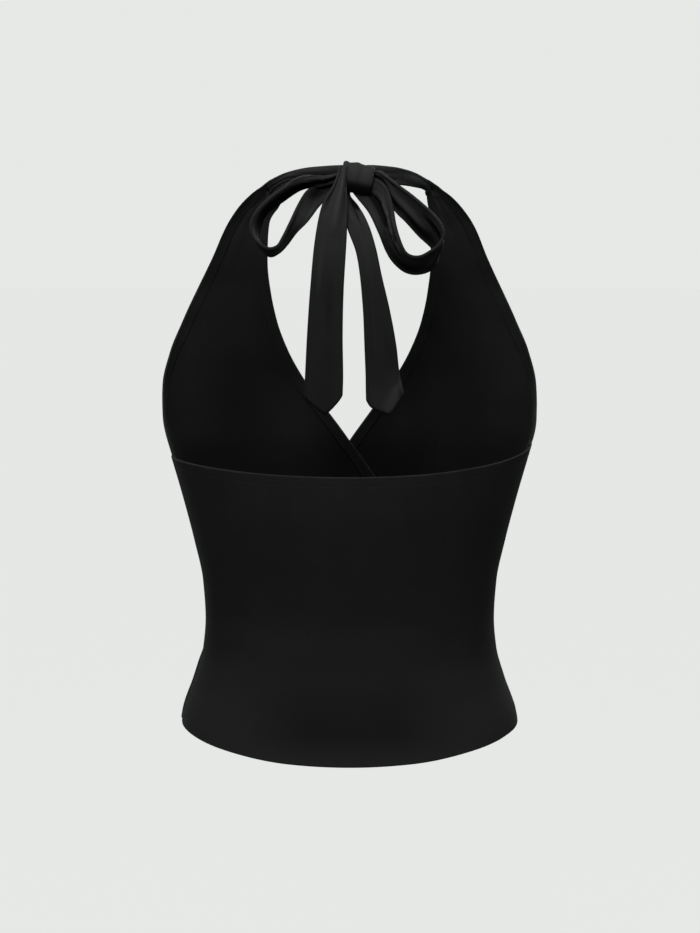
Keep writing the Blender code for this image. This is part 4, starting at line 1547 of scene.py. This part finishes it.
# %% Wrap the knot
KNOT_HALF = Vector((13.0, 8.6, 11.8))
KNOT_CENTRE = Vector((-6.2, 12.2, -2.2))
KNOT_LEAN = math.radians(-11)
KNOT_SQUARENESS = 0.92
KNOT_RIM_PINCH = 0.10
KNOT_CLOTH = 2.0
KNOT_AROUND = 96
KNOT_RIDGES = (
    (-0.62, 0.10, 0.16, 0.3),
    (-0.25, 0.12, 0.14, -0.3),
    (0.20, -0.10, 0.16, 0.8),
    (0.52, 0.08, 0.12, -0.5),
    (0.86, 0.05, 0.10, 0.8),
)
# Painted shade: how strongly the knot's lower half counts as a sunk fold, and where that begins.
UNDERSIDE_PAINTED_SHADE = 1.4
UNDERSIDE_SHADE_STEP = (-0.1, 0.75)
KNOT_TURN_STEP = 0.01
KNOT_GIRTH = 0.06


def knot_cloth():
    faces = band_faces()
    width = 2 * KNOT_HALF.x
    turn = Matrix.Translation(KNOT_CENTRE) @ Matrix.Rotation(KNOT_LEAN, 4, "Y")

    def ring(share, turned):
        """A point on the middle of the wrap: share runs across it and turned goes round it."""
        across = 2 * share - 1
        angle = 2 * math.pi * turned
        shrink = 1 - KNOT_RIM_PINCH * across**4
        lift = 0.0
        for centre, sway, reach, height in KNOT_RIDGES:
            beside = across - centre - sway * math.sin(angle + 4 * centre)
            lift += height * math.exp(-((beside / reach) ** 2))

        def squared(circle, half):
            out = (half - KNOT_CLOTH / 2) * shrink + lift
            return math.copysign(abs(circle) ** KNOT_SQUARENESS, circle) * out

        y, z = squared(math.sin(angle), KNOT_HALF.y), squared(math.cos(angle), KNOT_HALF.z)
        return Vector((across * KNOT_HALF.x, y, z))

    def place(column, row):
        face, kind, value = faces[column]
        turned = row / KNOT_AROUND
        distance = column_distance(kind, value, width)
        share = distance / width
        here = ring(share, turned)
        low, high = max(share - NORMAL_STEP_ACROSS, 0), min(share + NORMAL_STEP_ACROSS, 1)
        over = ring(high, turned) - ring(low, turned)
        round_it = ring(share, turned + KNOT_TURN_STEP) - ring(share, turned - KNOT_TURN_STEP)
        normal = unit(over.cross(round_it))
        if normal.dot(Vector((0, here.y, here.z))) < 0:
            normal = -normal
        half = KNOT_CLOTH / 2 * rounded(min(distance, width - distance), KNOT_CLOTH / 2)
        # Painted shade: the lower half of the wrap gets a sunk fold value, so its colour darkens.
        under = soft_step(*UNDERSIDE_SHADE_STEP, -here.z / KNOT_HALF.z)
        point = (turn @ (here + normal * (half * face))) * MM
        return point, (distance * MM, turned * KNOT_GIRTH), -UNDERSIDE_PAINTED_SHADE * under

    return close_tube("knot_cloth", len(faces) - 1, KNOT_AROUND, place)


settle(knot_cloth(), "bow_knot", TIE_JERSEY)

# %% [markdown]
# ## Stitches
#
# A seam on cloth this dark is seen as a row of small dents with a glint of thread in each. One
# stitch is a long, thin sphere with a little more than half of it pressed into the cloth. A
# function walks along a line on a panel and sets one every three millimetres, on the outside and
# again on the inside. The lines follow each front's neckline and armhole, and the back's top edge.

# %% Sew a line
STITCH_LENGTH = 2.3 * MM
STITCH_SINK = 0.35
STITCH_SIDES = 8
STITCH_RINGS = 6
ROW_SPACING = 4
STITCH_INSET = FOLD_RADIUS + EDGE_STITCH_LINE
STITCHES_FROM_DROP = 12
NECKLINE_STITCHES_TO_DROP = 414
ARMHOLE_STITCHES_SHORT = 4
NECKLINE_STEPS = 400
ARMHOLE_STEPS = 200
BACK_STITCHES = (0.004, 0.996)
BACK_STEPS = 400


def walk(points, pitch):
    """Even places along a line of (point, normal): each with its middle, direction and normal."""
    places = []
    travelled = 0.0
    due = pitch / 2
    for (start, normal), (end, _) in zip(points, points[1:]):
        step = (end - start).length
        while step > 0 and travelled + step >= due:
            share = (due - travelled) / step
            places.append((start.lerp(end, share), unit(end - start), normal))
            due += pitch
        travelled += step
    return places


def stitch_line(name, lines, pitch=PUCKER_PITCH):
    """One sphere is doubled into a row that is long enough, and each is moved to its own place."""
    places = [place for points in lines for place in walk(points, pitch)]
    bm = bmesh.new()
    upright = Matrix.Rotation(math.pi / 2, 4, "Y")
    bmesh.ops.create_uvsphere(bm, u_segments=STITCH_SIDES, v_segments=STITCH_RINGS, radius=1, matrix=upright)
    count = 1
    while count < len(places):
        made = bmesh.ops.duplicate(bm, geom=bm.verts[:] + bm.edges[:] + bm.faces[:])
        copies = [element for element in made["geom"] if isinstance(element, bmesh.types.BMVert)]
        bmesh.ops.translate(bm, vec=(count * ROW_SPACING, 0, 0), verts=copies)
        count *= 2
    past_last = (len(places) - 0.5) * ROW_SPACING
    spare = [vertex for vertex in bm.verts if vertex.co.x > past_last]
    bmesh.ops.delete(bm, geom=spare, context="VERTS")
    size = Matrix.Diagonal((STITCH_LENGTH / 2, THREAD_RADIUS, THREAD_RADIUS, 1))
    turns = []
    for middle, direction, normal in places:
        side = unit(direction.cross(normal))
        up = unit(side.cross(direction))
        sunk = middle - normal * (THREAD_RADIUS * STITCH_SINK)
        turns.append(Matrix.Translation(sunk) @ Matrix((direction, side, up)).transposed().to_4x4() @ size)
    for vertex in bm.verts:
        number = round(vertex.co.x / ROW_SPACING)
        vertex.co = turns[number] @ (vertex.co - Vector((number * ROW_SPACING, 0, 0)))
    bmesh.ops.recalc_face_normals(bm, faces=bm.faces)
    return finish_sheet(name, bm, 0)


def on_face(point, outward, outside):
    """The spot on the cloth's outside, or on its turning inside, and the way out from there."""
    depth = CLOTH / 2 if outside else -(2 * FOLD_RADIUS + CLOTH / 2)
    return point + outward * depth, outward if outside else -outward


def line_on(surface, edge, along_range, count, outside):
    """A line at a fixed inset from a panel's side edge, just outside or inside the cloth."""
    points = []
    for index in range(count + 1):
        along = along_range[0] + (along_range[1] - along_range[0]) * index / count
        share = STITCH_INSET * narrowing(surface, along) * side_frame(surface, edge, along)[0]
        point, outward = surface(share if edge == "start" else 1 - share, along)
        points.append(on_face(point, outward, outside))
    return points


def drop_share(drop):
    return (drop - APEX_DROP) / (HEM_DROP - APEX_DROP)


def front_stitches(side):
    surface = front_surface(side)
    neckline = (drop_share(STITCHES_FROM_DROP), drop_share(NECKLINE_STITCHES_TO_DROP))
    armhole = (drop_share(STITCHES_FROM_DROP), drop_share(SEAM_TOP_DROP[side] - ARMHOLE_STITCHES_SHORT))
    lines = []
    for outside in (True, False):
        lines.append(line_on(surface, "end", neckline, NECKLINE_STEPS, outside))
        lines.append(line_on(surface, "start", armhole, ARMHOLE_STEPS, outside))
    return stitch_line(f"front_{side}_stitches", lines)


def back_line(outside):
    points = []
    first, last = BACK_STITCHES
    for index in range(BACK_STEPS + 1):
        around = first + (last - first) * index / BACK_STEPS
        edge = back_edge(around)
        share = STITCH_INSET / ((edge["hem_drop"] - edge["top_drop"]) * MM)
        point, outward = back_surface(around, share)
        points.append(on_face(point, outward, outside))
    return points


for side in ("left", "right"):
    settle(front_stitches(side), None, THREAD)
back_lines = [back_line(outside) for outside in (True, False)]
settle(stitch_line("back_edge_stitches", back_lines), None, THREAD)

# %% [markdown]
# ## What each piece was cut to
#
# Every sheet's flat cut is listed here, in metres, with its turnings, and printed beside the sheet's cloth
# area. The ties are given as they are finished, doubled and turned. A panel isn't a rectangle, so its cut
# area is given as well.

CUTS = {
    "front_left_cloth": ((0.34, 0.52), 0.105),
    "front_right_cloth": ((0.34, 0.54), 0.112),
    "back_cloth": ((0.42, 0.27), 0.100),
    "strap_left_cloth": ((0.018, 0.09), None),
    "strap_right_cloth": ((0.018, 0.08), None),
    "loop_left_cloth": ((0.028, 0.21), None),
    "loop_right_cloth": ((0.028, 0.21), None),
    "tail_left_cloth": ((0.030, 0.19), None),
    "tail_right_cloth": ((0.028, 0.19), None),
    "knot_cloth": ((0.025, 0.06), None),
}


def surface_area(piece):
    graph = bpy.context.evaluated_depsgraph_get()
    mesh = piece.evaluated_get(graph).to_mesh()
    area = sum(face.area for face in mesh.polygons) / 2
    piece.evaluated_get(graph).to_mesh_clear()
    return area


for name, (flat, area) in CUTS.items():
    piece = bpy.data.objects[name]
    print(name, "cloth area:", round(surface_area(piece), 5), "stated:", area or round(flat[0] * flat[1], 5))

# %% [markdown]
# ## Sizes of the result
#
# The dressed garment has to keep the solids' size.
